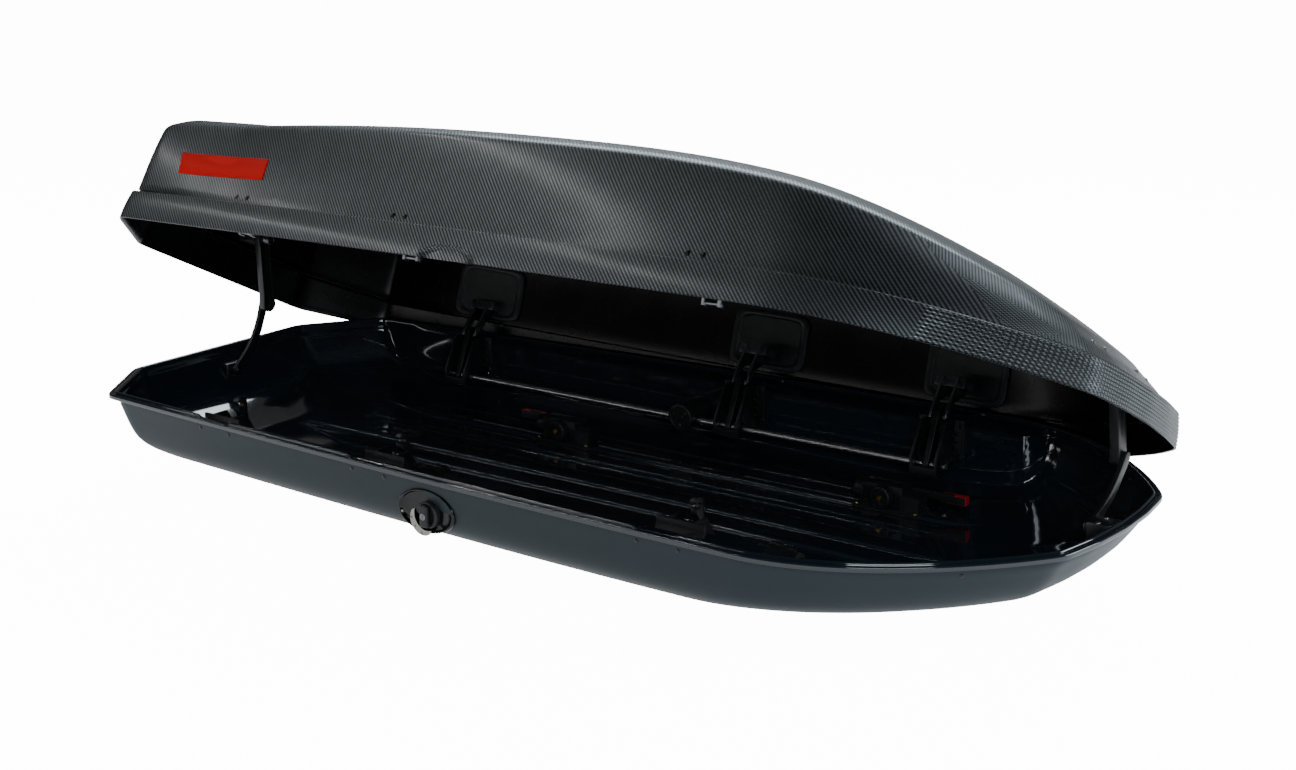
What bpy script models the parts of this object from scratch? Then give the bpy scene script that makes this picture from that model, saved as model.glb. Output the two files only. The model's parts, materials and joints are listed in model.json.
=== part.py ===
"""Dual-opening roof cargo box: tub, lid, six latch stations, two locks, two lid
lifters and four quick clamps for the crossbars.

Metres.  +X points to the nose, +Y to the side that stays hooked (the far side),
+Z up.  z = 0 is the flat keel pad that sits on the crossbars.  The lid stands
open on the far latch pins, as it does while the box is being loaded.
"""
import math

import bmesh
import bpy
from mathutils import Matrix, Vector

# ---- shells -------------------------------------------------------------
RIM_Z = 0.135            # top of the tub's rim
KEEL_STEP = 0.002        # the tub's skin sits this far above the keel pad
SKIN = 0.0034            # wall thickness of both shells
REAR_X, CORNER_X = -1.017, -0.905
REAR_HALF, CORNER_HALF = 0.225, 0.385
WIDE_X, WIDE_HALF = 0.58, 0.447
NOSE_CORNER_X, NOSE_X, NOSE_HALF = 1.000, 1.017, 0.170
SIDE_STEPS, NOSE_STEPS = 9, 7
PAD_Y = 0.3705           # inner face of the moulded pads that carry the latches
PAD_REAR_X, PAD_FRONT_X = -0.80, 0.65
RIM_WIDTH = 0.020        # flat rim, lip to inner wall
LIP_DROP = 0.010         # how far the tub's lip hangs down
SKIRT_OUT = 0.012        # lid skirt's lower edge outside the tub's lip
CREASE_Z = 0.047         # height of the lid's crease above the rim
LID_TOP = 0.285          # crown above the rim
APRON = 0.016            # how much lower the lid's skirt hangs at the rear end
GAP = 0.0003             # between pieces that touch

# ---- hinge line and latches ---------------------------------------------
PIN_Y, PIN_Z = 0.354, RIM_Z + 0.006
LID_OPEN = math.radians(27.0)
NEAR_STATIONS = (-0.60, -0.19, 0.44)
FAR_STATIONS = (-0.63, 0.06, 0.49)
STATION_NAMES = ("rear", "middle", "front")
PIN_RADIUS = 0.004
ROD_IN, ROD_DOWN, ROD_RADIUS = 0.035, 0.082, 0.0065
HOOK_SWING = math.radians(20.0)

# ---- lock ----------------------------------------------------------------
LOCK_X, LOCK_Z = -0.045, RIM_Z - 0.070
LOCK_FACE_Y = 0.420      # front of the bezel
KNOB_RADIUS = 0.0235

# ---- lifters: pivot on the tub, knee, pivot on the lid (all lid open) -----
LIFTERS = {
    "rear": dict(face=-0.968, out=-1, tub=(0.0, RIM_Z - 0.045),
                 knee=(0.086, RIM_Z + 0.080), lid=(0.015, RIM_Z + 0.0723)),
    "front": dict(face=0.952, out=1, tub=(0.0, RIM_Z - 0.014),
                  knee=(0.125, RIM_Z + 0.066), lid=(0.060, RIM_Z + 0.045)),
}

# ---- clamps ---------------------------------------------------------------
CLAMP_X = {"rear": -0.245, "front": 0.485}
CLAMP_Y = 0.20
FLOOR_Z = KEEL_STEP + SKIN
JAW_BOTTOM = -0.038

BLACK_GLOSS = (0.012, 0.013, 0.015)
BLACK_NYLON = (0.020, 0.020, 0.021)
WEAVE_GREY = (0.055, 0.058, 0.060)
ALUMINIUM = (0.80, 0.81, 0.82)
STEEL = (0.55, 0.55, 0.56)
SATIN_SILVER = (0.70, 0.69, 0.64)
RED = (0.60, 0.02, 0.02)


# ---- general helpers -------------------------------------------------------
def clear_scene():
    for obj in list(bpy.data.objects):
        bpy.data.objects.remove(obj, do_unlink=True)


def material(name, colour, roughness, metallic):
    mat = bpy.data.materials.get(name)
    if mat is None:
        mat = bpy.data.materials.new(name)
        mat.use_nodes = True
        shader = mat.node_tree.nodes["Principled BSDF"]
        shader.inputs["Base Color"].default_value = (*colour, 1.0)
        shader.inputs["Roughness"].default_value = roughness
        shader.inputs["Metallic"].default_value = metallic
    return mat


def closed_mesh(verts, faces):
    """A mesh whose faces all point out."""
    mesh = bpy.data.meshes.new("solid")
    mesh.from_pydata(verts, [], faces)
    bm = bmesh.new()
    bm.from_mesh(mesh)
    bmesh.ops.recalc_face_normals(bm, faces=bm.faces)
    bm.to_mesh(mesh)
    bm.free()
    return mesh


def loft(rings):
    """A closed skin over rings of equal length, capped at both ends."""
    count = len(rings[0])
    verts = [point for ring in rings for point in ring]
    faces = [tuple(range(count)), tuple(range(len(verts) - count, len(verts)))]
    for low in range(0, len(verts) - count, count):
        for i in range(count):
            j = (i + 1) % count
            faces.append((low + i, low + j, low + count + j, low + count + i))
    return closed_mesh(verts, faces)


def prism(axis, outline, start, end):
    """An outline in the two axes after `axis` (x: yz, y: xz, z: xy), extruded."""
    def point(u, v, along):
        return {"x": (along, u, v), "y": (u, along, v), "z": (u, v, along)}[axis]
    return loft([[point(u, v, start) for u, v in outline],
                 [point(u, v, end) for u, v in outline]])


def box(low, high):
    outline = [(low[0], low[1]), (high[0], low[1]), (high[0], high[1]), (low[0], high[1])]
    return prism("z", outline, low[2], high[2])


def arc(centre, radius, start, end, steps):
    """Points on an arc, angles in degrees."""
    points = []
    for i in range(steps + 1):
        angle = math.radians(start + (end - start) * i / steps)
        points.append((centre[0] + radius * math.cos(angle), centre[1] + radius * math.sin(angle)))
    return points


def disc(axis, centre, radius, start, end, sides=16):
    outline = arc(centre, radius, 0, 360 - 360 / sides, sides - 1)
    return prism(axis, outline, start, end)


def combine(mesh, joins=(), cuts=(), within=()):
    """The mesh after Boolean unions, differences and intersections."""
    main = bpy.data.objects.new("main", mesh)
    helpers = []
    bpy.context.collection.objects.link(main)
    for operation, tools in (("UNION", joins), ("DIFFERENCE", cuts), ("INTERSECT", within)):
        for tool in tools:
            helper = bpy.data.objects.new("helper", tool)
            bpy.context.collection.objects.link(helper)
            helpers.append(helper)
            modifier = main.modifiers.new(operation.lower(), "BOOLEAN")
            modifier.operation = operation
            modifier.solver = "EXACT"
            modifier.object = helper
    bpy.context.view_layer.update()
    graph = bpy.context.evaluated_depsgraph_get()
    result = bpy.data.meshes.new_from_object(main.evaluated_get(graph))
    for obj in [main] + helpers:
        bpy.data.objects.remove(obj, do_unlink=True)
    return result


def turned(mesh, turn):
    """The mesh, moved by the matrix `turn`."""
    mesh.transform(turn)
    return mesh


def node(name, mesh, mat, origin=(0.0, 0.0, 0.0), parent=None):
    """One named piece.  Its mesh is in world coordinates (closed-lid ones under
    the lid's empty) and `origin` is on its joint's axis."""
    mesh.transform(Matrix.Translation(-Vector(origin)))
    mesh.materials.clear()
    mesh.materials.append(mat)
    mesh.shade_smooth()
    mesh.set_sharp_from_angle(angle=math.radians(30))
    mesh.name = name
    obj = bpy.data.objects.new(name, mesh)
    bpy.context.collection.objects.link(obj)
    obj.location = origin
    if parent is not None:
        obj.parent = parent
        obj.location = Vector(origin) - parent.location
    return obj


def turn_about(axis, centre, angle):
    centre = Vector(centre)
    return Matrix.Translation(centre) @ Matrix.Rotation(angle, 4, axis) @ Matrix.Translation(-centre)


def to_side(side, x):
    """Hardware is drawn on the near side; this takes it, at x, to its own side."""
    return Matrix() if side == "near" else turn_about("Z", (x, 0, 0), math.pi)


# ---- shells -----------------------------------------------------------------
def side_half(x):
    """Half width of the rim: a slow swell to WIDE_X, then a rounded taper to the nose."""
    if x <= WIDE_X:
        swell = math.sin((x - CORNER_X) / (WIDE_X - CORNER_X) * math.pi / 2)
        return CORNER_HALF + (WIDE_HALF - CORNER_HALF) * swell
    t = min((x - WIDE_X) / (NOSE_CORNER_X - WIDE_X), 1.0)
    return NOSE_HALF + (WIDE_HALF - NOSE_HALF) * (1 - t ** 2.0) ** 0.93


def rim_outline():
    """The rim seen from above, anticlockwise from the middle of the rear end."""
    half = [(REAR_X, 0.0), (REAR_X, REAR_HALF / 2), (REAR_X, REAR_HALF)]
    for i in range(SIDE_STEPS + 1):
        x = CORNER_X + (WIDE_X - CORNER_X) * i / SIDE_STEPS
        half.append((x, side_half(x)))
    for i in range(1, NOSE_STEPS + 1):
        x = WIDE_X + (NOSE_CORNER_X - WIDE_X) * math.sin(math.pi / 2 * i / NOSE_STEPS)
        half.append((x, side_half(x)))
    half.append((NOSE_CORNER_X + 0.75 * (NOSE_X - NOSE_CORNER_X), NOSE_HALF / 2))
    half.append((NOSE_X, 0.0))
    return [(x, -y) for x, y in half] + half[-2:0:-1]


def inset(points, distance):
    """A convex anticlockwise outline moved inwards (outwards if negative)."""
    moved = []
    for i, here in enumerate(points):
        before = Vector(points[i - 1])
        after = Vector(points[(i + 1) % len(points)])
        first = (Vector(here) - before).normalized()
        second = (after - Vector(here)).normalized()
        inward = Vector((-first.y - second.y, first.x + second.x)).normalized()
        reach = distance / max(inward.dot(Vector((-first.y, first.x))), 0.3)
        moved.append(tuple(Vector(here) + inward * reach))
    return moved


OUTLINE = rim_outline()


def ring(height, side=0.0, rear=0.0, front=0.0, skin=0.0, pad=False):
    """The rim's outline drawn in by side, rear and front, then inset by skin.
    height is a z, or a function of x."""
    shrunk = []
    for x, y in OUTLINE:
        along = 1 - (rear if x < 0 else front) / NOSE_X
        shrunk.append((x * along, y * (1 - side / WIDE_HALF)))
    points = inset(shrunk, skin)
    if pad:
        points = [(x, max(-PAD_Y, min(PAD_Y, y)) if PAD_REAR_X < x < PAD_FRONT_X else y)
                  for x, y in points]
    return [(x, y, height(x) if callable(height) else height) for x, y in points]


# depth below the rim, then how far the wall has come in at the sides, rear and nose
TUB_LEVELS = ((0.030, 0.018, 0.020, 0.022), (0.085, 0.026, 0.058, 0.070),
              (0.112, 0.052, 0.120, 0.170), (0.128, 0.092, 0.195, 0.290),
              (0.133, 0.130, 0.255, 0.380))
# share of the wall thickness taken inwards and upwards at each level
TUB_LEAN = ((1.0, 0.0), (1.0, 0.1), (0.75, 0.65), (0.3, 0.95), (0.1, 1.0))


def tub_outer(extra=0.0):
    rings = [ring(RIM_Z - d - extra, s, r, f, -extra) for d, s, r, f in reversed(TUB_LEVELS)]
    rings.append(ring(RIM_Z - LIP_DROP - extra, 0.016, 0.016, 0.016, -extra))
    rings.append(ring(RIM_Z - LIP_DROP - extra, skin=-extra))
    return rings


def tub_inner(extra=0.0):
    rings = [ring(RIM_Z - LIP_DROP, skin=RIM_WIDTH + extra, pad=True)]
    for (depth, side, rear, front), (inward, upward) in zip(TUB_LEVELS, TUB_LEAN):
        rings.append(ring(RIM_Z - depth + upward * SKIN + extra * (upward > 0.5),
                          side, rear, front, inward * SKIN + extra, pad=True))
    return rings


def tub_cavity():
    """What lies inside the tub, less the gap, carried on above the rim."""
    inner = tub_inner(GAP)
    return loft([ring(RIM_Z + 0.10, skin=RIM_WIDTH + GAP, pad=True)] + inner)


def make_tub():
    shell = loft(tub_outer() + [ring(RIM_Z), ring(RIM_Z, skin=RIM_WIDTH)] + tub_inner())
    joins = [box((-0.36, -0.09, 0.0), (0.58, 0.09, KEEL_STEP + SKIN / 2))]
    for y in (-0.27, -0.135, -0.07, 0.0, 0.07, 0.135, 0.27):
        joins.append(box((-0.70, y - 0.004, FLOOR_Z - SKIN / 2), (0.52, y + 0.004, FLOOR_Z + 0.003)))
    cuts = []
    for x in CLAMP_X.values():
        for y in (-CLAMP_Y, CLAMP_Y):
            cuts.append(box((x - 0.052, y - 0.0085, -0.01), (x + 0.052, y + 0.0085, 0.02)))
    for side in (-1, 1):
        cuts.append(disc("y", (LOCK_X, LOCK_Z), 0.0085, side * 0.345, side * 0.445, 16))
    node("base_tub", combine(shell, joins, cuts), material("gloss_black_abs", BLACK_GLOSS, 0.18, 0.0))


def lid_height(x):
    """The lid's crown above the rim plane, along its length."""
    if x < -0.05:
        return LID_TOP - 0.070 * ((x + 0.05) / 0.967) ** 2
    return LID_TOP - 0.205 * ((x + 0.05) / 1.067) ** 3.3


# inset at the sides, rear and nose, and the share of the height reached
LID_LEVELS = ((0.012, 0.006, 0.014, 0.00), (0.026, 0.010, 0.060, 0.42), (0.042, 0.018, 0.125, 0.76),
              (0.066, 0.034, 0.175, 0.88), (0.120, 0.080, 0.280, 0.955), (0.220, 0.210, 0.480, 0.99),
              (0.350, 0.480, 0.700, 1.00))
LID_LEAN = ((1.0, 0.2), (1.0, 0.3), (0.85, 0.6), (0.5, 0.9), (0.2, 1.0), (0.1, 1.0), (0.0, 1.0))
WALL_FOOT = CREASE_Z + 0.008


def lid_wall(level, raised, inward):
    """One ring of the lid's wall or crown, lifted by `raised` and inset by `inward`."""
    side, rear, front, share = level

    def height(x):
        return RIM_Z + WALL_FOOT + (lid_height(x) - WALL_FOOT) * share + raised
    return ring(height, side, rear, front, inward)


def skirt_edge(x):
    """Height of the skirt's lower edge, which drops along the rear corners."""
    return RIM_Z - 0.008 - APRON * max(0.0, min(1.0, (CORNER_X - x) / (CORNER_X - REAR_X)))


def lid_outer(extra=0.0):
    rings = [ring(skirt_edge, skin=-SKIRT_OUT - extra), ring(RIM_Z + CREASE_Z, skin=-0.004 - extra),
             ring(RIM_Z + CREASE_Z + 0.001 + extra, skin=0.009 - extra)]
    return rings + [lid_wall(level, extra, -extra) for level in LID_LEVELS]


def lid_inner(extra=0.0):
    rings = [ring(skirt_edge, skin=-SKIRT_OUT + SKIN + extra),
             ring(RIM_Z + CREASE_Z - SKIN - extra, skin=-0.004 + SKIN + extra),
             ring(RIM_Z + CREASE_Z - SKIN + 0.001 - extra, skin=0.009 + SKIN + extra)]
    for level, (inward, downward) in zip(LID_LEVELS, LID_LEAN):
        rings.append(lid_wall(level, -downward * SKIN - extra, inward * SKIN + extra))
    return rings


def lid_cavity():
    """What lies inside the lid, less the gap, carried on below its skirt."""
    inner = lid_inner(3 * GAP)
    return loft([ring(RIM_Z - 0.05, skin=-SKIRT_OUT + SKIN + 3 * GAP)] + inner)


def make_lid(lid_axis):
    shell = loft(list(reversed(lid_inner())) + lid_outer())
    node("lid_shell", shell, material("carbon_weave_abs", WEAVE_GREY, 0.35, 0.2), tuple(lid_axis.location),
         lid_axis)
    badge = prism("y", [(-0.82, RIM_Z + 0.084), (-0.60, RIM_Z + 0.094), (-0.58, RIM_Z + 0.137),
                        (-0.80, RIM_Z + 0.127)], -0.45, -0.31)
    badge = combine(badge, cuts=[loft(lid_outer(GAP))], within=[loft(lid_outer(0.0018))])
    node("side_badge", badge, material("red_enamel", RED, 0.3, 0.0), tuple(lid_axis.location), lid_axis)


# ---- latches ------------------------------------------------------------------
def latch_tower(x, turn):
    """Two cheeks and a back plate, screwed to the moulded pad."""
    y, z = -PIN_Y, PIN_Z
    back = box((x - 0.046, y - 0.0150, z - 0.080), (x + 0.046, y - 0.0105, z - 0.006))
    profile = [(y - 0.0115, z - 0.006), (y - 0.0115, z - 0.080), (y + 0.002, z - 0.097),
               (y + 0.055, z - 0.097), (y + 0.055, z - 0.066), (y + 0.020, z - 0.006)]
    cheeks = [prism("x", profile, x + a, x + b) for a, b in ((-0.028, -0.0225), (0.0225, 0.028))]
    foot = box((x - 0.025, y + 0.0505, z - 0.097), (x + 0.025, y + 0.055, z - 0.083))
    bore = disc("x", (y + ROD_IN, z - ROD_DOWN), 0.0080, x - 0.04, x + 0.04, 16)
    tower = turned(combine(back, joins=cheeks + [foot], cuts=[bore]), turn)
    return combine(tower, within=[tub_cavity()])


def latch_hook(x):
    """A plate keyed to the rod whose open jaw closes sideways over the catch pin."""
    rod = Vector((-PIN_Y + ROD_IN, PIN_Z - ROD_DOWN))
    pin = Vector((-PIN_Y, PIN_Z))
    up = (pin - rod).normalized()
    out = Vector((-up.y, up.x))
    reach = (pin - rod).length

    def local(points):
        return [tuple(pin + out * t + up * r) for t, r in points]
    throat = [(0.005 * math.cos(a), 0.005 * math.sin(a))
              for a in [math.radians(d) for d in range(270, 89, -30)]]
    hub = arc((0.0, -reach), 0.014, 180 - 20, 360 + 20, 10)
    outline = [(0.009, 0.005), (0.010, 0.009), (0.004, 0.013), (-0.007, 0.013), (-0.013, 0.006),
               (-0.012, -reach + 0.020)] + hub + [(0.003, -reach + 0.022), (0.003, -0.020),
                                                  (0.009, -0.012), (0.009, -0.005)] + throat
    plate = prism("x", local(outline), x - 0.006, x + 0.006)
    return combine(plate, cuts=[disc("x", tuple(rod), 0.0073, x - 0.02, x + 0.02, 16)])


def lid_catch(x, turn):
    """A steel pin between two ears, with a web that is riveted to the lid's wall."""
    y, z = -PIN_Y, PIN_Z
    ear = [(y + 0.007, z - 0.006), (y - 0.006, z - 0.006), (y - 0.014, z + 0.030),
           (y - 0.050, z + 0.054), (y - 0.050, z + 0.076), (y - 0.008, z + 0.076), (y + 0.007, z + 0.012)]
    ears = [prism("x", ear, x + a, x + b) for a, b in ((-0.0175, -0.0125), (0.0125, 0.0175))]
    web = box((x - 0.030, y - 0.050, z + 0.058), (x + 0.030, y - 0.010, z + 0.076))
    trimmed = combine(turned(web, turn), joins=[turned(ear, turn) for ear in ears], within=[lid_cavity()])
    pin = disc("x", (y, z), PIN_RADIUS, x - 0.019, x + 0.019, 16)
    return combine(trimmed, joins=[turned(pin, turn)])


def make_latches(lid_axis):
    nylon = material("black_nylon", BLACK_NYLON, 0.45, 0.0)
    steel = material("zinc_steel", STEEL, 0.3, 1.0)
    alloy = material("anodised_aluminium", ALUMINIUM, 0.28, 1.0)
    rod_near = (0.0, -PIN_Y + ROD_IN, PIN_Z - ROD_DOWN)
    open_near = turn_about("X", rod_near, -HOOK_SWING)
    for side, stations in (("near", NEAR_STATIONS), ("far", FAR_STATIONS)):
        for place, x in zip(STATION_NAMES, stations):
            turn = to_side(side, x)
            pin = turn @ Vector((x, -PIN_Y, PIN_Z))
            hook_turn = open_near if side == "near" else turn
            node(f"{side}_{place}_latch_tower", latch_tower(x, turn), nylon, pin)
            node(f"{side}_{place}_latch_hook", turned(latch_hook(x), hook_turn), nylon,
                 turn @ Vector((x, *rod_near[1:])))
            node(f"{side}_{place}_lid_catch", lid_catch(x, turn), steel, pin, lid_axis)
        axis_yz = (to_side(side, 0.0) @ Vector(rod_near))[1:]
        rod = disc("x", axis_yz, ROD_RADIUS, stations[0] - 0.036, stations[2] + 0.036, 16)
        node(f"{side}_latch_rod", rod, alloy, (stations[0], *axis_yz))


# ---- locks ----------------------------------------------------------------------
def make_lock(side):
    """Lock case inside the wall; bezel, turning knob, key barrel and thumb lever outside."""
    nylon = material("black_nylon", BLACK_NYLON, 0.45, 0.0)
    axis = (LOCK_X, LOCK_Z)
    face = LOCK_FACE_Y
    turn = to_side(side, LOCK_X)
    origin = turn @ Vector((LOCK_X, -face, LOCK_Z))

    def along_y(centre, radius, deep, shallow, sides=20):
        return turned(disc("y", centre, radius, -shallow, -deep, sides), turn)

    case = along_y(axis, 0.027, PIN_Y - 0.058, 0.40)
    rod_bore = disc("x", (-PIN_Y + ROD_IN, PIN_Z - ROD_DOWN), 0.0080, LOCK_X - 0.05, LOCK_X + 0.05, 16)
    rod_bore = turned(rod_bore, turn)
    shaft_bore = along_y(axis, 0.0070, PIN_Y - 0.018, 0.41, 16)
    case = combine(case, cuts=[rod_bore, shaft_bore], within=[tub_cavity()])
    node(f"{side}_lock_case", case, nylon, origin)

    oval = [(LOCK_X - 0.006 + 0.064 * math.cos(a), LOCK_Z + 0.005 + 0.038 * math.sin(a))
            for a in [2 * math.pi * i / 32 for i in range(32)]]
    bezel = turned(prism("y", oval, -face, -face + 0.028), turn)
    bezel = combine(bezel, cuts=[loft(tub_outer(GAP) + [ring(RIM_Z + 0.01)]),
                                 along_y(axis, KNOB_RADIUS + 0.0012, face - 0.04, face + 0.02)])
    node(f"{side}_lock_bezel", bezel, nylon, origin)

    knob = along_y(axis, KNOB_RADIUS, face - 0.0040, face + 0.0045)
    grip = box((LOCK_X - 0.009, -face - 0.0130, LOCK_Z - 0.0195),
               (LOCK_X + 0.009, -face - 0.0030, LOCK_Z + 0.0195))
    shaft = along_y(axis, 0.0060, PIN_Y - 0.016, face - 0.002, 16)
    knob = combine(knob, joins=[turned(grip, turn), shaft],
                   cuts=[along_y(axis, 0.0068, face + 0.0060, face + 0.03, 16)])
    node(f"{side}_lock_knob", knob, nylon, origin)

    barrel = along_y(axis, 0.0061, face + 0.0064, face + 0.0136, 16)
    keyway = box((LOCK_X - 0.0006, -face - 0.03, LOCK_Z - 0.0038),
                 (LOCK_X + 0.0006, -face - 0.0105, LOCK_Z + 0.0038))
    node(f"{side}_key_barrel", combine(barrel, cuts=[turned(keyway, turn)]),
         material("zinc_steel", STEEL, 0.3, 1.0), origin)

    crescent = arc(axis, 0.0285, -70, 160, 20) + arc(axis, 0.041, 172, 278, 14)
    lever = turned(prism("y", crescent, -face - 0.0045, -face - 0.0010), turn)
    lever = combine(lever, cuts=[along_y(axis, KNOB_RADIUS + 0.0010, face, face + 0.03)])
    node(f"{side}_thumb_lever", lever, material("satin_silver", SATIN_SILVER, 0.35, 0.7), origin)


# ---- lifters ----------------------------------------------------------------------
def lid_point(y, z):
    """Where a point of the closed lid (y, z) goes when the lid stands open."""
    dy, dz = y - PIN_Y, z - PIN_Z
    cos, sin = math.cos(LID_OPEN), math.sin(LID_OPEN)
    return PIN_Y + dy * cos + dz * sin, PIN_Z - dy * sin + dz * cos


def bar_outline(start, end, width, bow, steps=6):
    """A round-ended bar from start to end whose middle bows sideways."""
    start, end = Vector(start), Vector(end)
    along = end - start
    unit = along.normalized()
    normal = Vector((-unit.y, unit.x))

    def centre(t):
        return start + along * t + normal * bow * math.sin(math.pi * t)
    heading = math.degrees(math.atan2(unit.y, unit.x))
    edge = [centre(i / steps) for i in range(1, steps)]
    outline = [tuple(p - normal * width) for p in edge]
    outline += arc(end, width * 1.15, heading - 80, heading + 80, 6)
    outline += [tuple(p + normal * width) for p in reversed(edge)]
    outline += arc(start, width * 1.15, heading + 100, heading + 260, 6)
    return outline


def spring_mesh(centre, start, end, radius, wire, turns=4, steps=10, sides=5):
    """A coil along X round `centre`, as a closed tube."""
    rings = []
    for i in range(turns * steps + 1):
        angle = 2 * math.pi * i / steps
        spoke = Vector((0, math.cos(angle), math.sin(angle)))
        middle = Vector((start + (end - start) * i / (turns * steps), *centre)) + spoke * radius
        loop = [2 * math.pi * k / sides for k in range(sides)]
        rings.append([tuple(middle + wire * (math.cos(a) * Vector((1, 0, 0)) + math.sin(a) * spoke))
                      for a in loop])
    return loft(rings)


def make_lifter(end, lid_axis):
    """A two-link strut: bracket on the tub's end wall, bowed arm, channel link,
    bracket inside the lid's end wall and a torsion spring on the lid's pivot."""
    spec = LIFTERS[end]
    out, face = spec["out"], spec["face"]
    tub, knee, lid_closed = spec["tub"], spec["knee"], spec["lid"]
    lid = lid_point(*lid_closed)
    nylon = material("black_nylon", BLACK_NYLON, 0.45, 0.0)
    steel = material("zinc_steel", STEEL, 0.3, 1.0)

    def at(offset):
        """x at a distance behind (+) or in front (-) of the bowed arm's middle plane."""
        return face + out * offset

    def across(outline, a, b):
        return prism("x", outline, min(at(a), at(b)), max(at(a), at(b)))

    def pivot(centre, radius, a, b):
        return across(arc(centre, radius, 0, 337.5, 15), a, b)

    plate = [(tub[0] - 0.020, tub[1] - 0.016), (tub[0] + 0.020, tub[1] - 0.016),
             (tub[0] + 0.020, tub[1] + 0.014), (tub[0] - 0.020, tub[1] + 0.014)]
    bracket = combine(across(plate, 0.0047, 0.06), within=[tub_cavity()])
    bracket = combine(bracket, joins=[pivot(tub, 0.0050, -0.006, 0.008)])
    node(f"{end}_lifter_tub_bracket", bracket, nylon, (face, *tub))

    arm = combine(across(bar_outline(tub, knee, 0.0085, -0.014), -0.004, 0.004),
                  cuts=[pivot(tub, 0.0058, -0.02, 0.02)])
    node(f"{end}_lifter_arm", arm, nylon, (face, *tub))

    link = across(bar_outline(lid, knee, 0.0140, 0.0), -0.020, -0.0045)
    channel = across(bar_outline(lid, knee, 0.0095, 0.0), -0.03, -0.010)
    hub = pivot(lid, 0.0125, -0.020, -0.0045)
    link = combine(link, joins=[pivot(knee, 0.0050, -0.019, -0.0045)], cuts=[channel])
    link = combine(link, joins=[hub], cuts=[pivot(lid, 0.0058, -0.04, 0.02)])
    node(f"{end}_lifter_link", link, nylon, (face, *lid))

    ly, lz = lid_closed
    plate = [(ly - 0.018, lz - 0.012), (ly + 0.018, lz - 0.012), (ly + 0.018, lz + 0.016),
             (ly - 0.018, lz + 0.016)]
    bracket = combine(across(plate, -0.004, 0.10), within=[lid_cavity()])
    bracket = combine(bracket, joins=[pivot(lid_closed, 0.0050, -0.040, 0.0)])
    node(f"{end}_lifter_lid_bracket", bracket, nylon, (face, ly, lz), lid_axis)

    coil = spring_mesh(lid_closed, at(-0.0235), at(-0.0385), 0.0085, 0.0014)
    node(f"{end}_lifter_spring", coil, steel, (face, ly, lz), lid_axis)


# ---- clamps ----------------------------------------------------------------------------
def make_clamp(end, side, x):
    """Housing with a fixed jaw through the floor slot, sliding jaw, dial and lever.
    Drawn for the near row, whose dial faces the middle of the box."""
    nylon = material("black_nylon", BLACK_NYLON, 0.45, 0.0)
    steel = material("zinc_steel", STEEL, 0.3, 1.0)
    y, z = -CLAMP_Y, FLOOR_Z
    turn = to_side(side, x)
    hand = -1 if end == "rear" else 1
    if side == "far":
        hand = -hand
    name = f"{end}_{side}_clamp"

    plate = box((x - 0.066, y - 0.024, z + GAP), (x + 0.066, y + 0.024, z + 0.0065))
    body = box((x - 0.030, y - 0.018, z + 0.004), (x + 0.052, y + 0.016, z + 0.048))
    wing = box((x - 0.064, y - 0.014, z + 0.004), (x - 0.026, y + 0.018, z + 0.034))
    barrel = disc("x", (y, z + 0.030), 0.019, x + 0.048, x + 0.066, 20)
    jaw = prism("y", [(x - 0.050, JAW_BOTTOM), (x - 0.026, JAW_BOTTOM), (x - 0.026, JAW_BOTTOM + 0.008),
                      (x - 0.040, JAW_BOTTOM + 0.008), (x - 0.040, z + 0.004), (x - 0.050, z + 0.004)],
                y - 0.006, y + 0.006)
    pocket = box((x + 0.018, y - 0.0075, z - 0.01), (x + 0.0505, y + 0.0075, z + 0.016))
    dial_bore = disc("y", (x + 0.006, z + 0.029), 0.0065, y + 0.002, y + 0.03, 16)
    lever_bore = disc("y", (x, z + 0.034), 0.0056, y - 0.03, y - 0.008, 16)
    housing = combine(body, joins=[plate, wing, barrel, jaw], cuts=[pocket, dial_bore, lever_bore])
    node(f"{name}_housing", turned(housing, turn), nylon, turn @ Vector((x, y, z)))

    claw = prism("y", [(x + 0.048, JAW_BOTTOM), (x + 0.024, JAW_BOTTOM), (x + 0.024, JAW_BOTTOM + 0.008),
                       (x + 0.038, JAW_BOTTOM + 0.008), (x + 0.038, z + 0.013), (x + 0.048, z + 0.013)],
                 y - 0.006, y + 0.006)
    node(f"{name}_sliding_jaw", turned(claw, turn), steel, turn @ Vector((x + 0.043, y, 0.0)))

    dial_centre = (x + 0.006, z + 0.029)
    rim = [(dial_centre[0] + r * math.cos(a), dial_centre[1] + r * math.sin(a))
           for a, r in [(math.pi * i / 12, 0.0215 if i % 3 else 0.0195) for i in range(24)]]
    dial = prism("y", rim, y + 0.0175, y + 0.034)
    stub = disc("y", dial_centre, 0.0058, y + 0.004, y + 0.02, 16)
    dial = turned(combine(dial, joins=[stub]), turn)
    node(f"{name}_dial", dial, nylon, turn @ Vector((dial_centre[0], y, dial_centre[1])))

    pivot_z = z + 0.034
    low, high = sorted((hand * -0.012, hand * 0.115))
    bar = box((x + low, y - 0.027, pivot_z - 0.007), (x + high, y - 0.0195, pivot_z + 0.007))
    tab = box((x + min(hand * 0.085, hand * 0.135), y - 0.034, pivot_z - 0.009),
              (x + max(hand * 0.085, hand * 0.135), y - 0.0195, pivot_z + 0.006))
    stub = disc("y", (x, pivot_z), 0.0048, y - 0.022, y - 0.010, 16)
    lever = turned(combine(bar, joins=[tab, stub]), turn)
    node(f"{name}_lever", lever, material("red_plastic", RED, 0.35, 0.0), turn @ Vector((x, y, pivot_z)))


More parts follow.
